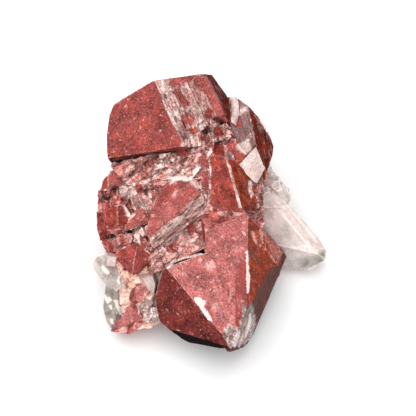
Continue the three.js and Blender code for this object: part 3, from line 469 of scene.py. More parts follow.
def on_sheet(x, y, height):
    return np.array([(x - SHEET_MIDDLE) * SQUARE_MM, (SHEET_MIDDLE - y) * SQUARE_MM, height])


def sheet_place(points):
    """x, y and height on the sheet for points of the centred part, in mm."""
    x, y, height = ((points - CENTRING_MM - SHEET_SHIFT) @ SHEET_TURN).T
    return np.column_stack([x / SQUARE_MM + SHEET_MIDDLE, SHEET_MIDDLE - y / SQUARE_MM, height])


def corners_in(outline):
    """The x and y of each corner, from an outline's flat list."""
    return np.array(outline, float).reshape(-1, 2)


def unit(vector):
    return vector / np.linalg.norm(vector)


def direction(heading_deg, tilt_deg):
    h, t = math.radians(heading_deg), math.radians(tilt_deg)
    return np.array([math.sin(t) * math.cos(h), math.sin(t) * math.sin(h), math.cos(t)])


def face_through(normal, point):
    return normal, float(normal @ point)


def height_on(plane, x, y):
    normal, offset = plane
    return (offset - normal @ on_sheet(x, y, 0)) / normal[2]


def line_on(plane, line):
    """Where a line drawn on the sheet starts on a plane, and its direction along the plane."""
    start, end = (on_sheet(x, y, height_on(plane, x, y)) for x, y in corners_in(line))
    return start, unit(end - start)


def away_from(inside, start, way):
    """The way, turned round if it leads from the start towards a point inside the crystal."""
    return -way if way @ (inside - start) > 0 else way


def bent_face(plane, line, degrees, inside):
    start, edge = line_on(plane, line)
    outward = away_from(inside, start, np.cross(edge, plane[0]))
    turn = math.radians(degrees)
    return face_through(plane[0] * math.cos(turn) + outward * math.sin(turn), start)


def walls_of(outline, wall, faces):
    ring = corners_in(outline)
    middle = on_sheet(*ring.mean(axis=0), 0)
    walls = []
    for here, there, tilt_deg in zip(ring, np.roll(ring, -1, axis=0), np.broadcast_to(wall, len(ring))):
        start = on_sheet(*here, 0)
        edge = on_sheet(*there, 0) - start
        outward = away_from(middle, start, unit(np.array([edge[1], -edge[0], 0])))
        start[2] = min(height_on(face, *(here + there) / 2) for face in faces)
        tilt = math.radians(tilt_deg)
        walls.append(face_through(outward * math.sin(tilt) - DOWN * math.cos(tilt), start))
    return walls


def upper_faces(crystal):
    x, y, height, heading, tilt = crystal.face
    centre = on_sheet(x, y, height)
    faces = [face_through(direction(heading, tilt), centre)]
    for parent, *line, degrees in crystal.turns:
        faces.append(bent_face(faces[parent], line, degrees, centre))
    return faces


def crystal_planes(crystal):
    faces = upper_faces(crystal)
    return [*faces, *walls_of(crystal.outline, crystal.wall, faces), (DOWN, -crystal.back)]


def ledge_planes(ledge, crystal):
    normal, offset = upper_faces(crystal)[ledge.face]
    top = (normal, offset + ledge.rise)
    bottom = (-normal, LEDGE_ROOT_MM - offset)
    return [top, *walls_of(ledge.quad, LEDGE_WALL_DEG, [top]), bottom]


def placed(planes):
    """Planes from the sheet's frame in the part's own."""
    turned = [(SHEET_TURN @ normal, offset) for normal, offset in planes]
    return [(normal, offset + float(normal @ SHEET_SHIFT)) for normal, offset in turned]


def point_planes(point):
    start = np.array(point.base, float)
    heading, climb = point.aim
    axis = direction(heading, 90 - climb)
    across = unit(np.cross(-DOWN, axis))
    beside = np.cross(axis, across)
    cap_tilt = math.radians(CAP_TO_AXIS)
    planes = [face_through(-axis, start - axis * POINT_ROOT_MM)]
    for side, later in enumerate(point.caps):
        turn = math.radians(point.roll + side * 360 / PRISM_SIDES)
        out = across * math.cos(turn) + beside * math.sin(turn)
        on_side = start + out * point.side
        cap = out * math.sin(cap_tilt) + axis * math.cos(cap_tilt)
        planes += [face_through(out, on_side), face_through(cap, on_side + axis * (point.length + later))]
    return planes


def numbers_from(seed):
    """The part's own even pseudo-random numbers, rounded as its double precision rounds them."""
    state = float(seed)
    while True:
        state = math.fmod(state * 1103515245.0 + 12345.0, 2147483648.0)
        yield state / 2147483648.0


def lump_planes(centre, size, numbers):
    stretch = [size * (1 + LUMP_STRETCH * (2 * next(numbers) - 1)) for _ in range(3)]
    start = 2 * math.pi * next(numbers)
    planes = []
    for i in range(LUMP_FACETS):
        up = 1 - (2 * (i + 0.5)) / LUMP_FACETS
        turn = start + GOLDEN_TURN * i
        out = math.sqrt(1 - up * up)
        normal = np.array([out * math.cos(turn), out * math.sin(turn), up])
        reach = np.linalg.norm(normal * stretch) * (1 - LUMP_FLATTEN * next(numbers))
        planes.append(face_through(normal, centre + normal * reach))
    return planes


def lumps_of(run, start, end):
    numbers = numbers_from(run.seed)
    for i in range(run.count):
        centre = start + (end - start) * (i + next(numbers)) / run.count
        stray = [run.spread * (2 * next(numbers) - 1) for _ in range(3)]
        centre = centre + np.array(stray) * LUMP_STRAY
        size = run.size * (LUMP_LEAST + LUMP_SWING * next(numbers))
        yield lump_planes(centre, size, numbers)


def arrays_of(planes):
    normals, offsets = zip(*planes)
    return np.array(normals), np.array(offsets)


def corners_of(planes):
    normals, offsets = arrays_of(planes)
    triples = np.array(list(itertools.combinations(range(len(planes)), 3)))
    triples = triples[np.abs(np.linalg.det(normals[triples])) > NEAR_MM]
    points = np.linalg.solve(normals[triples], offsets[triples][:, :, None])[:, :, 0]
    kept = []
    for point in points[(points @ normals.T <= offsets + NEAR_MM).all(axis=1)]:
        if all(np.linalg.norm(point - other) > 10 * NEAR_MM for other in kept):
            kept.append(point)
    return kept


# ---------------------------------------------------------------- meshes from solids
# Every face carries the number of its plane, "owner", through the joining.


class Facets:
    """The planes of all the solids in a piece: how each is painted and which way it grew."""

    def __init__(self, ground_look):
        self.looks, self.frames, self.origins = [], [], []
        self.add(DOWN, ground_look, np.array([1.0, 0, 0]))

    def add(self, normal, look, grown):
        along = grown - normal * (grown @ normal)
        if np.linalg.norm(along) < STEEP:
            along = np.cross(normal, SPARE_GROWN)
        along = unit(along)
        self.looks.append(look)
        self.frames.append([along, np.cross(normal, along), normal])
        self.origins.append(len(self.origins))
        return len(self.looks) - 1

    def copied(self, facet, look):
        self.looks.append(look)
        self.frames.append(self.frames[facet])
        self.origins.append(self.origins[facet])
        return len(self.looks) - 1

    def solid(self, planes, looks, grown):
        """A convex solid as an object. Its planes join the facets, with their looks in turn."""
        owners = [self.add(normal, look, grown) for (normal, _), look in zip(planes, looks)]
        mesh = bmesh.new()
        for corner in corners_of(planes):
            mesh.verts.new(corner)
        bmesh.ops.convex_hull(mesh, input=mesh.verts)
        bmesh.ops.delete(mesh, geom=[v for v in mesh.verts if not v.link_faces], context="VERTS")
        layer = mesh.faces.layers.int.new("owner")
        normals, offsets = arrays_of(planes)
        for face in mesh.faces:
            corners = np.array([v.co[:] for v in face.verts])
            face[layer] = owners[np.abs(corners @ normals.T - offsets).max(axis=0).argmin()]
        return object_of(mesh)


def object_of(mesh):
    data = bpy.data.meshes.new("solid")
    mesh.to_mesh(data)
    mesh.free()
    return bpy.data.objects.new("solid", data)


def link(made):
    bpy.context.scene.collection.objects.link(made)
    return made


def ground_object():
    mesh = bmesh.new()
    mesh.faces.layers.int.new("owner")
    bmesh.ops.create_cube(mesh, size=GROUND_MM)
    bmesh.ops.translate(mesh, verts=mesh.verts, vec=(0, 0, -GROUND_MM / 2))
    return object_of(mesh)


def combined(base, others, operation):
    """base joined with or cut by the others, as a new object. The pieces given are removed."""
    group = bpy.data.collections.new("operands")
    bpy.context.scene.collection.children.link(group)
    link(base)
    for other in others:
        group.objects.link(other)
    joining = base.modifiers.new("join", "BOOLEAN")
    joining.operation = operation
    joining.solver = "MANIFOLD"
    joining.operand_type = "COLLECTION"
    joining.collection = group
    shown = base.evaluated_get(bpy.context.evaluated_depsgraph_get())
    made = bpy.data.objects.new("solid", bpy.data.meshes.new_from_object(shown))
    for spent in [base, *others]:
        bpy.data.objects.remove(spent)
    bpy.data.collections.remove(group)
    return made


def outer_skin(points, triangles):
    """Which triangles hang together with the point furthest right."""
    label = np.arange(len(points))
    while True:
        spread = label.copy()
        np.minimum.at(spread, triangles.ravel(), np.repeat(label[triangles].min(axis=1), 3))
        if (spread == label).all():
            return label[triangles[:, 0]] == label[np.argmax(points[:, 0])]
        label = spread[spread]


def triangles_of(solid):
    """Points, triangles and owners of the outer skin of an object, which is removed."""
    mesh = bmesh.new()
    mesh.from_mesh(solid.data)
    bpy.data.objects.remove(solid)
    bmesh.ops.remove_doubles(mesh, verts=mesh.verts, dist=NEAR_MM)
    bmesh.ops.triangulate(mesh, faces=mesh.faces, quad_method="BEAUTY", ngon_method="BEAUTY")
    layer = mesh.faces.layers.int["owner"]
    mesh.verts.index_update()
    points = np.array([v.co[:] for v in mesh.verts])
    triangles = np.array([[v.index for v in face.verts] for face in mesh.faces])
    owners = np.array([face[layer] for face in mesh.faces])
    mesh.free()
    kept = outer_skin(points, triangles)
    used, renumbered = np.unique(triangles[kept], return_inverse=True)
    return points[used], renumbered.reshape(-1, 3), owners[kept]


def edges_of(triangles):
    """The two corners of each triangle's three edges, the lower number first."""
    return np.sort(triangles[:, [[0, 1], [1, 2], [2, 0]]], axis=2).reshape(-1, 2)


def middles_of_long(points, triangles, owners, limits):
    """A new point halfway along every edge over its limit, and its number for each triangle's edges.

    An edge's limit is its facet's, and BORDER_MM between two facets, times the stretch where it lies.
    """
    keys, edge_of = np.unique(edges_of(triangles), axis=0, return_inverse=True)
    edge_of = edge_of.reshape(-1, 3)
    ends = points[keys]
    low, high = np.full(len(keys), len(limits)), np.full(len(keys), -1)
    np.minimum.at(low, edge_of, owners[:, None])
    np.maximum.at(high, edge_of, owners[:, None])
    stretch = np.interp(sheet_place(ends.mean(axis=1))[:, 2], STRETCH_MM, [BACK_STRETCH, 1])
    longest = np.where(low == high, limits[low], BORDER_MM) * stretch
    long = np.linalg.norm(ends[:, 0] - ends[:, 1], axis=1) > longest
    middle_of = np.full(len(keys), -1)
    middle_of[long] = len(points) + np.arange(long.sum())
    return ends[long].mean(axis=1), middle_of[edge_of]


def halved(points, triangles, owners, limits):
    """The same surface with every edge halved until it is within its limit."""
    while True:
        middles, cut = middles_of_long(points, triangles, owners, limits)
        if not len(middles):
            return points, triangles, owners
        points = np.vstack([points, middles])
        count = (cut >= 0).sum(axis=1)
        made = [(triangles[count == 0], owners[count == 0])]

        def rows_with(cuts, first_of):
            """The triangles with so many cut edges: their numbers, corners and middles from the first."""
            rows = np.flatnonzero(count == cuts)
            turn = (first_of(cut[rows])[:, None] + np.arange(3)) % 3
            return rows, *(np.take_along_axis(table[rows], turn, 1).T for table in (triangles, cut))

        def keep(rows, *corners, chosen=slice(None)):
            for three in corners:
                made.append((np.column_stack(three)[chosen], owners[rows][chosen]))

        rows, (a, b, c), (ab, _, _) = rows_with(1, lambda cuts: np.argmax(cuts >= 0, axis=1))
        keep(rows, (a, ab, c), (ab, b, c))
        rows, (a, b, c), (ab, bc, _) = rows_with(2, lambda cuts: np.argmin(cuts >= 0, axis=1) + 1)
        apart = [np.linalg.norm(points[one] - points[two], axis=1) for one, two in ((a, bc), (ab, c))]
        straight = apart[0] < apart[1]
        keep(rows, (ab, b, bc))
        keep(rows, (a, ab, bc), (a, bc, c), chosen=straight)
        keep(rows, (a, ab, c), (ab, bc, c), chosen=~straight)
        rows, (a, b, c), (ab, bc, ca) = rows_with(3, lambda cuts: np.zeros(len(cuts), int))
        keep(rows, (a, ab, ca), (ab, b, bc), (ca, bc, c), (ab, bc, ca))
        triangles, owners = (np.concatenate(tables) for tables in zip(*made))


# ---------------------------------------------------------------- relief and wear

SHARP_DEG = 25
# Noise of several sizes: the share of each, and its cycles per mm.
FLAT_NOISE = [(0.6, 0.45), (0.4, 1.7)]
CHIP_NOISE = [(0.5, 0.7), (0.5, 2.3)]
# How far a worn edge draws back, in mm, and the shares of that: the least, the mean and the noise's swing.
CHIP_MM = 0.25
CHIP_LEAST, CHIP_MEAN, CHIP_SWING = 0.1, 0.25, 1.6
# Growth steps: their length and width in mm, how far they sway, and how they stand out. The slices are
# places in the noise's third direction, one for each use of it.
STEP_MM = np.array([6.0, 0.8])
STEP_SWAY_MM, STEP_SWAY_PER_MM, STEP_SLICES = 0.35, (0.25, 0.3), (3.1, 7.7, 1.3)
STEP_SHARPNESS, STEP_SHARE = 2.6, 0.7
FINE_STEPS, FINE_SHARE = (1.7, 2.6), 0.5
# Broken shards: their width, how they lean and stand proud at random, and the cracks between them.
SHARD_MM, SHARD_SEED = 2.4, 17.31
SHARD_LEAN, SHELF_SHARE, SHELF_SHIFT = 1.6, 0.9, Vector((3.3, 1.7, 9.1))
CRACK_DEPTH, CRACK_WIDTH = 0.35, 0.12


def octaves(place, shares):
    return sum(share * noise.noise(place * per_mm) for share, per_mm in shares)


def flat_height(place, grown):
    return octaves(place, FLAT_NOISE)


def stepped_height(place, grown):
    sway_slice, wide_slice, fine_slice = STEP_SLICES
    along, across = grown[:2] * STEP_SWAY_PER_MM
    sway = STEP_SWAY_MM * noise.noise(Vector((along, across, sway_slice)))
    along, across = (grown[:2] + [0, sway]) / STEP_MM
    wide = noise.noise(Vector((along, across, wide_slice)))
    fine = noise.noise(Vector((along * FINE_STEPS[0], across * FINE_STEPS[1], fine_slice)))
    return max(-1, min(1, STEP_SHARPNESS * wide)) * STEP_SHARE + fine * FINE_SHARE


def broken_height(place, grown):
    distances, seeds = noise.voronoi(place / SHARD_MM)
    seed = seeds[0] * SHARD_SEED
    sloped = (place / SHARD_MM - seeds[0]).dot(noise.noise_vector(seed) * SHARD_LEAN)
    cracked = CRACK_DEPTH * (distances[1] - distances[0] < CRACK_WIDTH)
    return sloped + SHELF_SHARE * noise.noise(seed + SHELF_SHIFT) - cracked


HEIGHTS = {"flat": flat_height, "stepped": stepped_height, "broken": broken_height}


def unit_rows(rows):
    return rows / np.maximum(np.linalg.norm(rows, axis=1, keepdims=True), 1e-12)


def triangle_normals(points, triangles):
    a, b, c = (points[triangles[:, i]] for i in range(3))
    return unit_rows(np.cross(b - a, c - a))


def sharp_corners(points, triangles, owners, normals, eligible):
    """For each point, 1 where a convex edge between two unbroken faces runs through it."""
    edges = edges_of(triangles)
    order = np.lexsort((edges[:, 1], edges[:, 0]))
    same = (edges[order[1:]] == edges[order[:-1]]).all(axis=1)
    first, second = order[:-1][same], order[1:][same]
    one, two = first // 3, second // 3
    middles = points[triangles].mean(axis=1)
    turn = (normals[one] * normals[two]).sum(axis=1)
    convex = ((middles[two] - middles[one]) * normals[one]).sum(axis=1) < 0
    worn = (owners[one] != owners[two]) & convex & (turn < math.cos(math.radians(SHARP_DEG)))
    worn &= eligible[one] & eligible[two]
    weight = np.zeros(len(points))
    weight[edges[first[worn]].ravel()] = 1
    return weight


def relief_heights(points, pairs, facets):
    """How far each point stands off the plane of each facet that it lies on."""
    heights = np.zeros(len(pairs))
    for i, (corner, owner) in enumerate(pairs):
        look = LOOKS[facets.looks[owner]]
        if look.depth:
            grown = np.array(facets.frames[owner]) @ points[corner]
            heights[i] = look.depth * HEIGHTS[look.relief](Vector(points[corner]), grown)
    return heights


def with_relief(points, triangles, owners, facets):
    """The points moved off their planes by each face's relief, and how worn an edge each lies on."""
    normals = triangle_normals(points, triangles)
    eligible = np.array([LOOKS[look].relief != "broken" for look in facets.looks])[owners]
    worn = sharp_corners(points, triangles, owners, normals, eligible)
    corners = triangles.ravel()
    pairs, pair_of = np.unique(np.column_stack([corners, owners.repeat(3)]), axis=0, return_inverse=True)
    heights = relief_heights(points, pairs, facets)[pair_of.reshape(-1)]
    moved, outward = np.zeros_like(points), np.zeros_like(points)
    np.add.at(moved, corners, normals.repeat(3, axis=0) * heights[:, None])
    np.add.at(outward, corners, normals.repeat(3, axis=0))
    moved /= np.bincount(corners, minlength=len(points))[:, None]
    outward = unit_rows(outward)
    for i in np.flatnonzero(worn):
        depth = CHIP_MEAN + CHIP_SWING * octaves(Vector(points[i]), CHIP_NOISE)
        moved[i] -= outward[i] * CHIP_MM * max(CHIP_LEAST, min(1, depth))
    made = points + moved
    made[:, 2] = np.maximum(made[:, 2], 0)
    return made, worn


# ---------------------------------------------------------------- pieces

BORDER_MM = 0.6  # the longest edge between two facets
LIMITS_MM = {"flat": 0.9, "stepped": 0.56, "broken": 0.66}  # the longest edges, by the kind of relief
BACK_STRETCH = 2.6  # how much coarser the mesh is at the back of the cluster
STRETCH_MM = (-14, -5)  # the heights on the sheet between which it grows finer
# Patches hold stains, and painted shade and highlights too.
PATCH_SWAY = 1.6  # how far a stain's edge wanders, in squares
PATCH_SWAY_PER_MM = 1.1
FRONTAL = 0.08  # how far a face must lean towards the sheet's front to take a stain
PATCH_FLOOR_MM = -6  # the height on the sheet below which nothing is stained


def linear(colour):
    return [((v / 255 + 0.055) / 1.055) ** 2.4 if v > 10 else v / 255 / 12.92 for v in colour]


def softened(table, triangles, owners, facets):
    """The table's rows at the corners: over a stain's edge, the mean of the triangles that meet there."""
    ground = np.array(facets.origins)[owners]
    keys = np.column_stack([triangles.ravel(), ground.repeat(3)])
    group = np.unique(keys, axis=0, return_inverse=True)[1].reshape(-1)
    count = np.bincount(group)
    columns = [np.bincount(group, column) / count for column in table[owners].repeat(3, axis=0).T]
    return np.column_stack(columns)[group]


def depth_inside(outline, flat):
    """How far inside the outline each place on the sheet lies, in squares: below 0 outside it."""
    ring = corners_in(outline)
    nearest = np.full(len(flat), np.inf)
    inside = np.zeros(len(flat), bool)
    for start, end in zip(ring, np.roll(ring, -1, axis=0)):
        edge = end - start
        share = np.clip(((flat - start) @ edge) / (edge @ edge), 0, 1)
        nearest = np.minimum(nearest, np.linalg.norm(flat - start - share[:, None] * edge, axis=1))
        level = (start[1] > flat[:, 1]) != (end[1] > flat[:, 1])
        with np.errstate(divide="ignore", invalid="ignore"):
            crossing = start[0] + (flat[:, 1] - start[1]) * edge[0] / edge[1]
        inside ^= level & (flat[:, 0] < crossing)
    return np.where(inside, nearest, -nearest)


def chip_and_highlight_depth(points):
    """How far inside the white chips and painted highlights each point lies, in mm."""
    flat = sheet_place(points)[:, :2]
    return np.max([depth_inside(outline, flat) for outline in CHIPS_AND_HIGHLIGHTS], axis=0) * SQUARE_MM


def patched(points, triangles, owners, facets, patches, floor):
    """The owners of the triangles, with a facet of its own wherever a stain, painted shade or a painted
    highlight changes the look.
    """
    owners = owners.copy()
    middles = points[triangles].mean(axis=1)
    frontal = triangle_normals(points, triangles) @ SHEET_TURN[:, 2] > FRONTAL
    places = sheet_place(middles)
    front = np.flatnonzero(frontal & (places[:, 2] > floor))
    sway = np.array([noise.noise_vector(Vector(middles[i]) * PATCH_SWAY_PER_MM)[:2] for i in front])
    flat = places[front, :2] + PATCH_SWAY * sway
    for look, outline in patches:
        chosen = front[depth_inside(outline, flat) > 0]
        for owner in np.unique(owners[chosen]):
            owners[chosen[owners[chosen] == owner]] = facets.copied(owner, look)
    return owners


def painted_mesh(name, points, triangles, owners, facets):
    """A mesh with relief and with what the materials read: looks at its corners, wear, chips and painted
    highlights at its points.
    """
    relieved, worn = with_relief(points, triangles, owners, facets)
    data = bpy.data.meshes.new(name)
    data.from_pydata((relieved * MM).tolist(), [], triangles.tolist())

    def add_layer(label, kind, domain, key, values):
        data.attributes.new(label, kind, domain).data.foreach_set(key, np.ravel(values))

    looks = [LOOKS[look] for look in facets.looks]
    tables = {
        "tint": [[*linear(look.tint), look.gloss] for look in looks],
        "vein": [[*linear(look.vein), look.mottle] for look in looks],
        "habit": [[look.speckle, look.streak, look.grit, 1] for look in looks],
    }
    for label, rows in tables.items():
        values = softened(np.array(rows), triangles, owners, facets)
        add_layer(label, "FLOAT_COLOR", "CORNER", "color", values)
    grown = np.einsum("tij,tkj->tki", np.array(facets.frames)[owners], points[triangles])
    add_layer("growth", "FLOAT_VECTOR", "CORNER", "vector", grown)
    add_layer("worn", "FLOAT", "POINT", "value", worn)
    add_layer("chip", "FLOAT", "POINT", "value", chip_and_highlight_depth(points))
    finishes = np.array([list(FINISHES).index(look.finish) for look in looks], np.int32)
    data.polygons.foreach_set("material_index", finishes[owners])
    data.polygons.foreach_set("use_smooth", np.ones(len(owners), bool))
    data.set_sharp_from_angle(angle=math.radians(SHARP_DEG))
    return link(bpy.data.objects.new(name, data))


def grown_along(crystal, planes):
    """The way a crystal grew, in the part's frame."""
    way = line_on(planes[0], crystal.grain)[1] if crystal.grain else np.array([0.0, 1.0, 0.0])
    return SHEET_TURN @ way


def crystal_object(crystal, facets):
    planes = crystal_planes(crystal)
    looks = [*crystal.looks, *[crystal.sides] * len(planes)]
    return facets.solid(placed(planes), looks, grown_along(crystal, planes))


def ledge_object(ledge, facets):
    crystal = next(each for each in CRYSTALS if each.name == ledge.on)
    planes = placed(ledge_planes(ledge, crystal))
    looks = [crystal.looks[ledge.face]] * len(planes)
    return facets.solid(planes, looks, grown_along(crystal, upper_faces(crystal)))


def point_object(point, facets):
    looks = ["rubble"] + ["wine", "brick"] * PRISM_SIDES
    return facets.solid(point_planes(point), looks, direction(point.aim[0] + 90, 90))


def lump_object(planes, look, facets):
    return facets.solid(planes, [look] * len(planes), LUMP_GROWN)


def sheet_run_objects(run, facets):
    lumps = lumps_of(run, on_sheet(*run.start), on_sheet(*run.end))
    return [lump_object(placed(planes), run.look, facets) for planes in lumps]


def plain_run_objects(run, facets):
    lumps = lumps_of(run, np.array(run.start, float), np.array(run.end, float))
    return [lump_object(planes, run.look, facets) for planes in lumps]


# A hole, its walls painted shade with the pit look.
def pit_object(number, pit, facets):
    x, y, height, size = pit
    planes = lump_planes(on_sheet(x, y, height), size, numbers_from(number))
    return lump_object(placed(planes), "pit", facets)


def finished_piece(name, solids, cutters, facets, patches, floor):
    """The solids joined, cut, set in the centred part, meshed, stained and painted."""
    joined = combined(solids[0], solids[1:], "UNION")
    points, triangles, owners = triangles_of(combined(joined, [*cutters, ground_object()], "DIFFERENCE"))
    limits = np.array([LIMITS_MM[LOOKS[look].relief] for look in facets.looks])
    points, triangles, owners = halved(points + CENTRING_MM, triangles, owners, limits)
    owners = patched(points, triangles, owners, facets, patches, floor)
    return painted_mesh(name, points, triangles, owners, facets)


def red_piece():
    facets = Facets("sawn")
    clear = {name for _, names, _ in CLEAR.values() for name in names}
    solids = [crystal_object(crystal, facets) for crystal in CRYSTALS if crystal.name not in clear]
    solids += [ledge_object(ledge, facets) for ledge in LEDGES]
    solids += [point_object(point, facets) for point in POINTS]
    for run in SHEET_RUNS:
        solids += sheet_run_objects(run, facets)
    for run in PLAIN_RUNS:
        solids += plain_run_objects(run, facets)
    pits = [pit_object(number, pit, facets) for number, pit in enumerate(PITS, 1)]
    return finished_piece("red_quartz_mass", solids, pits, facets, STAINS_AND_PAINTED_LIGHT, PATCH_FLOOR_MM)


def clear_piece(name, look, crystals, run):
    facets = Facets(look)
    solids = [crystal_object(crystal, facets) for crystal in CRYSTALS if crystal.name in crystals]
    solids += sheet_run_objects(run, facets)
    return finished_piece(name, solids, [], facets, CLEAR_STAINS_AND_HIGHLIGHTS, -GROUND_MM)


# ---------------------------------------------------------------- materials

DUST = (232, 178, 170)
# The white of fresh quartz, also used for painted highlights and glints.
FRESH_AND_GLINT = (246, 230, 224)
CHIP_AND_HIGHLIGHT_TONE = (226, 186, 180)
# Dark red-brown of dark growth lines and pinpricks, also the painted shade in cracks.
DARK = (62, 26, 24)
PALE = (214, 194, 186)
INSIDE = (236, 226, 220)
QUARTZ_IOR = 1.54
ALL = (0.0, 1.0)

# Noise: its cycles per mm, detail, roughness and distortion.
CLOUD_NOISE = (1.0, 6, 0.68, 0.5)
LINE_NOISE = (1.0, 3, 0.6, 0.3)
BEND_NOISE = (1.1, 3)
GRAIN_NOISE = (2.4, 4, 0.75)
BLOTCH_NOISE = (0.3, 4, 0.7)
PRICK_NOISE = (1.9, 3, 0.7)
CRUST_NOISE = (0.7, 4, 0.7)
CRUMB_NOISE = (2.8, 2, 0.6)
RAGGED_NOISE = (1.8, 4, 0.7)
SKIN_NOISE = (3.6, 3, 0.7)
CLEAR_LINE_NOISE = (1.0, 5, 0.6)
CLEAR_SKIN_NOISE = (2.2, 3, 0.6)
CLEAR_CLOUD_NOISE = (0.35, 5, 0.65, 0.6)
FLOOR_NOISE = (30.0, 3)

# How many times finer a pattern is along the crystal, and in the two ways across it.
CLOUD_STRETCH = (0.14, 0.3, 0.3)
LINE_STRETCH = (0.5, 1.5, 1.5)
SHARD_STRETCH = (0.42, 1.3, 1.3)
CLEAR_LINE_STRETCH = (0.25, 1.4, 1.4)

# Far-off places in the noise, so that two patterns of one kind differ.
CRUST_SHIFT, PRICK_SHIFT, CRUMB_SHIFT = 11.3, 31.7, 57.1

# Marks: the values of a noise or a random number at which each one starts and is whole, and its strength
# at the two, unless that is 0 and 1.
CLOUDS = (0.42, 0.62)
PALE_LINES, DARK_LINES = (0.53, 0.6, 0.0, 0.8), (0.43, 0.36, 0.0, 0.85)
# Some shards are painted white: fresh quartz and painted glints.
FRESH_AND_GLINTING_SHARDS = (0.5, 0.95, 0.0, 0.7)
RED_SHARDS, RED_BLOCKS, RED_SHARE = (0.72, 0.8), (0.66, 0.72, 0.0, 0.7), 0.75
# Cracks between shards are painted dark as shade.
SHARD_CRACKS, BLOCK_CRACKS, CRACKED_SHARDS = (0.08, 0.015), (0.07, 0.02), (0.3, 0.7)
CRACK_SHADE_SHARE = 0.65
# How much lighter or darker each shard and block is painted, as painted light and shade on its facets.
SHARD_LIGHT_AND_SHADE, BLOCK_LIGHT_AND_SHADE = (*ALL, -0.3, 0.4), (*ALL, -0.2, 0.25)
GRAIN_SHADES, BLOTCH_SHADES = (0.32, 0.68, 0.4, 1.6), (0.35, 0.65, 0.6, 1.4)
BUSY_GAIN, BUSY_SHADES = 3.0, (*ALL, 0.3, 1.0)
PRICKS = (0.37, 0.31, 0.0, 0.6)
CRUSTS, CRUMBS = (0.6, 0.65, 0.0, 0.8), (0.62, 0.7, 0.0, 0.7)
WORN_RAGGED, WORN_EDGES, WORN_DUSTY = (0.4, 0.56), (0.3, 0.7, 0.0, 0.55), (0.0, 0.6, 0.2, 1.0)
CHIP_AND_HIGHLIGHT_RAGGED, CHIPPED_AND_HIGHLIT, CHIP_AND_HIGHLIGHT_TONES = (0.2, 0.8, -0.35, 0.35), (-0.03, 0.08), (0.35, 0.65)
GRAIN_GLOSS, DUST_GLOSS = (0.3, 0.7, -0.12, 0.14), 0.15
CLEAR_CLOUDS, CLEAR_VEIL, CLEAR_GLOSS = (0.4, 0.62), (*ALL, -0.1, 0.1), 0.15
CLEAR_WORN, CLEAR_CHIPPED_AND_HIGHLIT, WORN_VEIL = (0.3, 0.9, 0.0, 0.9), (-0.03, 0.12, 0.0, 0.9), -0.6
FLOOR_SHADES = (0.3, 0.7, 0.93, 0.95)

# Relief too fine for the mesh: the share of each pattern in it, and the bump's strength and depth.
SKIN_RELIEF, LINE_RELIEF, DUST_RELIEF = 0.35, 1.1, 0.2
SHARD_RELIEF, BLOCK_RELIEF = 6.0, 7.0
CLEAR_LINE_RELIEF, CLEAR_SKIN_RELIEF = 0.6, 0.3
BUMP = {"Strength": 0.9, "Distance": 0.28 * MM}
CLEAR_BUMP = {"Strength": 0.6, "Distance": 0.25 * MM}

# Broken quartz comes in blocks and in the shards in them: the cells per mm, and how far they are bent.
BLOCKS, SHARDS = (0.28, 1.0), (0.62, 0.4)
Cells = namedtuple("Cells", "shades edge slope")


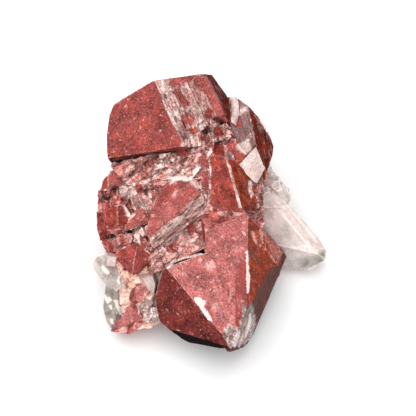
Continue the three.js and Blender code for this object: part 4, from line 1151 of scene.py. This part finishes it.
class Paint:
    """Short hands for the nodes of one material."""

    def __init__(self, name):
        self.material = bpy.data.materials.new(name)
        self.material.use_nodes = True
        self.tree = self.material.node_tree
        self.tree.nodes.clear()
        self.output = self.tree.nodes.new("ShaderNodeOutputMaterial")

    def feed(self, socket, value):
        if isinstance(value, bpy.types.NodeSocket):
            self.tree.links.new(value, socket)
        else:
            socket.default_value = value

    def node(self, kind, inputs, **settings):
        """The outputs of a new node."""
        made = self.tree.nodes.new("ShaderNode" + kind)
        for key, value in settings.items():
            setattr(made, key, value)
        for key, value in inputs.items():
            self.feed(made.inputs[key], value)
        return made.outputs

    def attribute(self, name):
        return self.node("Attribute", {}, attribute_name=name)

    def math(self, operation, values, clamp=False):
        first, *others = values
        for number, value in enumerate(others, 1):
            last = clamp and number == len(others)
            first = self.node("Math", {0: first, 1: value}, operation=operation, use_clamp=last)[0]
        return first

    def product(self, *values, clamp=False):
        return self.math("MULTIPLY", values, clamp)

    def total(self, *values, clamp=False):
        return self.math("ADD", values, clamp)

    def largest(self, *values):
        return self.math("MAXIMUM", values)

    def range(self, value, low, high, to_low=0.0, to_high=1.0):
        ends = {"Value": value, "From Min": low, "From Max": high, "To Min": to_low, "To Max": to_high}
        return self.node("MapRange", ends, clamp=True)["Result"]

    def mix(self, share, a, b, blend="MIX"):
        return self.node("Mix", {0: share, 6: a, 7: b}, data_type="RGBA", blend_type=blend)[2]

    def grey(self, shade):
        return self.node("CombineColor", {0: shade, 1: shade, 2: shade})[0]

    def vector(self, operation, a, b):
        return self.node("VectorMath", {0: a, 1: b}, operation=operation)

    def scaled(self, vector, by):
        return self.vector("MULTIPLY", vector, by)[0]

    def shifted(self, vector, by):
        return self.vector("ADD", vector, (by, by, by))[0]

    def noise(self, vector, scale, detail=2.0, roughness=0.5, distortion=0.0, output="Fac"):
        inputs = {"Vector": vector, "Scale": scale, "Detail": detail, "Roughness": roughness,
                  "Distortion": distortion}
        return self.node("TexNoise", inputs)[output]

    def broken(self, vector, per_mm, bend):
        """Drawn-out cells: three random shades a cell, how far its edge is, and a plane leaning at random."""
        bent = self.scaled(self.noise(vector, *BEND_NOISE, output="Color"), (bend, bend, bend))
        bent = self.scaled(self.vector("ADD", vector, bent)[0], SHARD_STRETCH)
        inputs = {"Vector": bent, "Scale": per_mm}
        cell = self.node("TexVoronoi", inputs)
        edge = self.node("TexVoronoi", inputs, feature="DISTANCE_TO_EDGE")["Distance"]
        inside = self.vector("SUBTRACT", bent, cell["Position"])[0]
        slope = self.vector("DOT_PRODUCT", inside, self.shifted(cell["Color"], -0.5))["Value"]
        return Cells(self.node("SeparateColor", {0: cell["Color"]}), edge, slope)

    def chip_and_highlight_depth(self, ragged):
        """How far inside the white chips and painted highlights a place lies, with a ragged edge."""
        return self.total(self.attribute("chip")["Fac"], self.range(ragged, *CHIP_AND_HIGHLIGHT_RAGGED))

    def finished(self, **inputs):
        """The material, with a surface of these inputs, spaces in their names written as underscores."""
        inputs = {key.replace("_", " "): value for key, value in inputs.items()}
        self.feed(self.output.inputs["Surface"], self.node("BsdfPrincipled", inputs)[0])
        return self.material


def rgba(colour):
    return [*linear(colour), 1]


def red_quartz_material(name, reflection, coat):
    p = Paint(name)
    tint, vein = p.attribute("tint"), p.attribute("vein")
    speckle, streak, grit = p.node("SeparateColor", {0: p.attribute("habit")["Color"]})
    grown = p.attribute("growth")["Vector"]

    # Mottling between the two colours.
    cloud = p.range(p.noise(p.scaled(grown, CLOUD_STRETCH), *CLOUD_NOISE), *CLOUDS)
    colour = p.mix(p.product(cloud, vein["Alpha"]), tint["Color"], vein["Color"])

    # Growth lines: short blocks drawn out along the crystal, some pale, some dark.
    lines = p.noise(p.scaled(grown, LINE_STRETCH), *LINE_NOISE)
    colour = p.mix(p.product(p.range(lines, *PALE_LINES), streak), colour, rgba(PALE))
    colour = p.mix(p.product(p.range(lines, *DARK_LINES), streak), colour, rgba(DARK))

    # Broken quartz: blocks and the shards in them, each its own tone and lean. Some shards are white, fresh
    # quartz and painted glints; each is painted lighter or darker at random, standing in for light and shade
    # on its facets; the cracks between them are painted dark as shade.
    blocks, shards = p.broken(grown, *BLOCKS), p.broken(grown, *SHARDS)
    colour = p.mix(p.product(p.range(shards.shades[0], *FRESH_AND_GLINTING_SHARDS), grit), colour, rgba(FRESH_AND_GLINT))
    red = p.largest(p.range(shards.shades[1], *RED_SHARDS), p.range(blocks.shades[1], *RED_BLOCKS))
    colour = p.mix(p.product(red, grit, RED_SHARE), colour, vein["Color"])
    crack_shade = p.product(p.range(shards.edge, *SHARD_CRACKS), p.range(shards.shades[2], *CRACKED_SHARDS))
    crack_shade = p.largest(crack_shade, p.range(blocks.edge, *BLOCK_CRACKS))
    colour = p.mix(p.product(crack_shade, grit, CRACK_SHADE_SHARE), colour, rgba(DARK))
    shard_light_and_shade = p.total(p.range(shards.shades[0], *SHARD_LIGHT_AND_SHADE), p.range(blocks.shades[0], *BLOCK_LIGHT_AND_SHADE))
    shard_light_and_shade = p.total(p.product(shard_light_and_shade, grit), 1.0)

    # Fine grain, weaker on a face with few marks, then dark pinpricks and pale dust.
    grain = p.noise(grown, *GRAIN_NOISE)
    blotches = p.range(p.noise(grown, *BLOTCH_NOISE), *BLOTCH_SHADES)
    shading = p.product(p.range(grain, *GRAIN_SHADES), blotches)
    busy = p.product(p.total(grit, streak, speckle), BUSY_GAIN, clamp=True)
    shading = p.total(p.product(p.total(shading, -1.0), p.range(busy, *BUSY_SHADES)), 1.0)
    colour = p.mix(1.0, colour, p.grey(p.product(shading, shard_light_and_shade)), "MULTIPLY")
    pricks = p.range(p.noise(p.shifted(grown, PRICK_SHIFT), *PRICK_NOISE), *PRICKS)
    colour = p.mix(p.product(pricks, busy), colour, rgba(DARK))
    crusts = p.range(p.noise(p.shifted(grown, CRUST_SHIFT), *CRUST_NOISE), *CRUSTS)
    crumbs = p.range(p.noise(p.shifted(grown, CRUMB_SHIFT), *CRUMB_NOISE), *CRUMBS)
    dust = p.product(p.largest(crusts, crumbs), speckle)
    colour = p.mix(dust, colour, rgba(DUST))

    # Worn edges, and white chips: fresh quartz in some, painted highlights and glints in others.
    ragged = p.noise(grown, *RAGGED_NOISE)
    worn = p.product(p.attribute("worn")["Fac"], p.range(ragged, *WORN_RAGGED))
    worn = p.product(p.range(worn, *WORN_EDGES), p.range(speckle, *WORN_DUSTY))
    colour = p.mix(worn, colour, rgba(DUST))
    chip = p.mix(p.range(ragged, *CHIP_AND_HIGHLIGHT_TONES), rgba(CHIP_AND_HIGHLIGHT_TONE), rgba(FRESH_AND_GLINT))
    colour = p.mix(p.range(p.chip_and_highlight_depth(ragged), *CHIPPED_AND_HIGHLIT), colour, chip)

    # Relief too fine for the mesh, and gloss.
    skin = p.product(p.noise(grown, *SKIN_NOISE), SKIN_RELIEF)
    leaning = p.total(p.product(shards.slope, SHARD_RELIEF), p.product(blocks.slope, BLOCK_RELIEF))
    ledges = p.product(p.total(leaning, shards.shades[2], blocks.shades[2]), grit)
    height = p.total(skin, p.product(lines, streak, LINE_RELIEF), ledges, p.product(dust, DUST_RELIEF))
    gloss = p.total(tint["Alpha"], p.range(grain, *GRAIN_GLOSS), p.product(dust, DUST_GLOSS), clamp=True)
    bump = p.node("Bump", {**BUMP, "Height": height})
    return p.finished(
        Base_Color=colour, Roughness=gloss, IOR=QUARTZ_IOR, Normal=bump[0], Specular_IOR_Level=reflection,
        Coat_Weight=coat, Coat_Roughness=0.15,
    )


def clear_quartz_material():
    p = Paint("clear_quartz")
    tint, vein = p.attribute("tint"), p.attribute("vein")
    grown = p.attribute("growth")["Vector"]
    cloud = p.range(p.noise(grown, *CLEAR_CLOUD_NOISE), *CLEAR_CLOUDS)
    colour = p.mix(cloud, tint["Color"], vein["Color"])
    # Worn edges and chips are painted white: partly wear, partly painted highlights along the edges.
    chipped_and_highlit = p.range(p.chip_and_highlight_depth(p.noise(grown, *RAGGED_NOISE)), *CLEAR_CHIPPED_AND_HIGHLIT)
    worn = p.largest(p.range(p.attribute("worn")["Fac"], *CLEAR_WORN), chipped_and_highlit)
    colour = p.mix(worn, colour, rgba(FRESH_AND_GLINT))

    # How see-through it is: the vein's alpha, more or less by the clouds inside it, and less where worn or
    # painted white as a highlight.
    veil = p.total(vein["Alpha"], p.range(cloud, *CLEAR_VEIL), p.product(worn, WORN_VEIL), clamp=True)
    lines = p.noise(p.scaled(grown, CLEAR_LINE_STRETCH), *CLEAR_LINE_NOISE)
    skin = p.noise(grown, *CLEAR_SKIN_NOISE)
    height = p.total(p.product(lines, CLEAR_LINE_RELIEF), p.product(skin, CLEAR_SKIN_RELIEF))
    bump = p.node("Bump", {**CLEAR_BUMP, "Height": height})
    gloss = p.total(tint["Alpha"], p.product(cloud, CLEAR_GLOSS))
    inside = p.node("VolumeAbsorption", {"Color": rgba(INSIDE), "Density": 6.0})
    p.feed(p.output.inputs["Volume"], inside[0])
    return p.finished(
        Base_Color=colour, Roughness=gloss, IOR=QUARTZ_IOR, Normal=bump[0], Transmission_Weight=veil,
        Coat_Weight=0.2, Coat_Roughness=0.05,
    )


def floor_material():
    p = Paint("floor")
    shade = p.range(p.noise(p.node("TexCoord", {})["Object"], *FLOOR_NOISE), *FLOOR_SHADES)
    return p.finished(Base_Color=p.grey(shade), Roughness=0.9, Specular_IOR_Level=0.2)


# ---------------------------------------------------------------- the object

red = red_piece()
for finish, (reflection, coat) in FINISHES.items():
    red.data.materials.append(red_quartz_material("iron_stained_quartz_" + finish, reflection, coat))
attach(red, "root")
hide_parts("red_quartz_cluster")

glass = clear_quartz_material()
for clear_name, made_of in CLEAR.items():
    piece = clear_piece(clear_name, *made_of)
    piece.data.materials.append(glass)
    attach(piece, "root")

# ---------------------------------------------------------------- floor, light and camera

TARGET = Vector((CENTRING_MM + SHEET_SHIFT) * MM)
CAMERA_M, FRAME_M, SENSOR_MM = 0.7, 0.104, 36.0
FLOOR_M = 4.0
SKY_STRENGTH = 0.3


def floor_object():
    half = FLOOR_M / 2
    corners = [(-half, -half, 0), (half, -half, 0), (half, half, 0), (-half, half, 0)]
    data = bpy.data.meshes.new("floor")
    data.from_pydata(corners, [], [range(4)])
    data.materials.append(floor_material())
    return link(bpy.data.objects.new("floor", data))


def out_of_sheet(right, up, out):
    return Vector(SHEET_TURN @ np.array([right, up, out], float))


def aimed(name, data, way, distance):
    """A light or camera at a distance from the part, in metres, looking back at it."""
    made = link(bpy.data.objects.new(name, data))
    made.location = TARGET + way * distance
    made.rotation_euler = way.to_track_quat("Z", "Y").to_euler()
    return made


def softbox(name, towards, distance, size, watts):
    light = bpy.data.lights.new(name, "AREA")
    light.shape, light.size, light.energy = "DISK", size, watts
    aimed(name, light, out_of_sheet(*towards).normalized(), distance)


floor_object()
softbox("key", towards=(-0.2, 0.55, 0.85), distance=0.8, size=1.0, watts=7.5)
softbox("fill", towards=(0.1, -0.15, 1.0), distance=1.0, size=1.2, watts=6.5)

world = bpy.data.worlds.new("studio")
world.use_nodes = True
world.node_tree.nodes["Background"].inputs["Color"].default_value = (1, 1, 1, 1)
world.node_tree.nodes["Background"].inputs["Strength"].default_value = SKY_STRENGTH
bpy.context.scene.world = world
bpy.context.scene.view_settings.view_transform = "Standard"

lens = bpy.data.cameras.new("camera")
lens.sensor_width = SENSOR_MM
lens.lens = SENSOR_MM * CAMERA_M / FRAME_M
lens.clip_start, lens.clip_end = 0.01, 20
bpy.context.scene.camera = aimed("camera", lens, out_of_sheet(0, 0, 1), CAMERA_M)
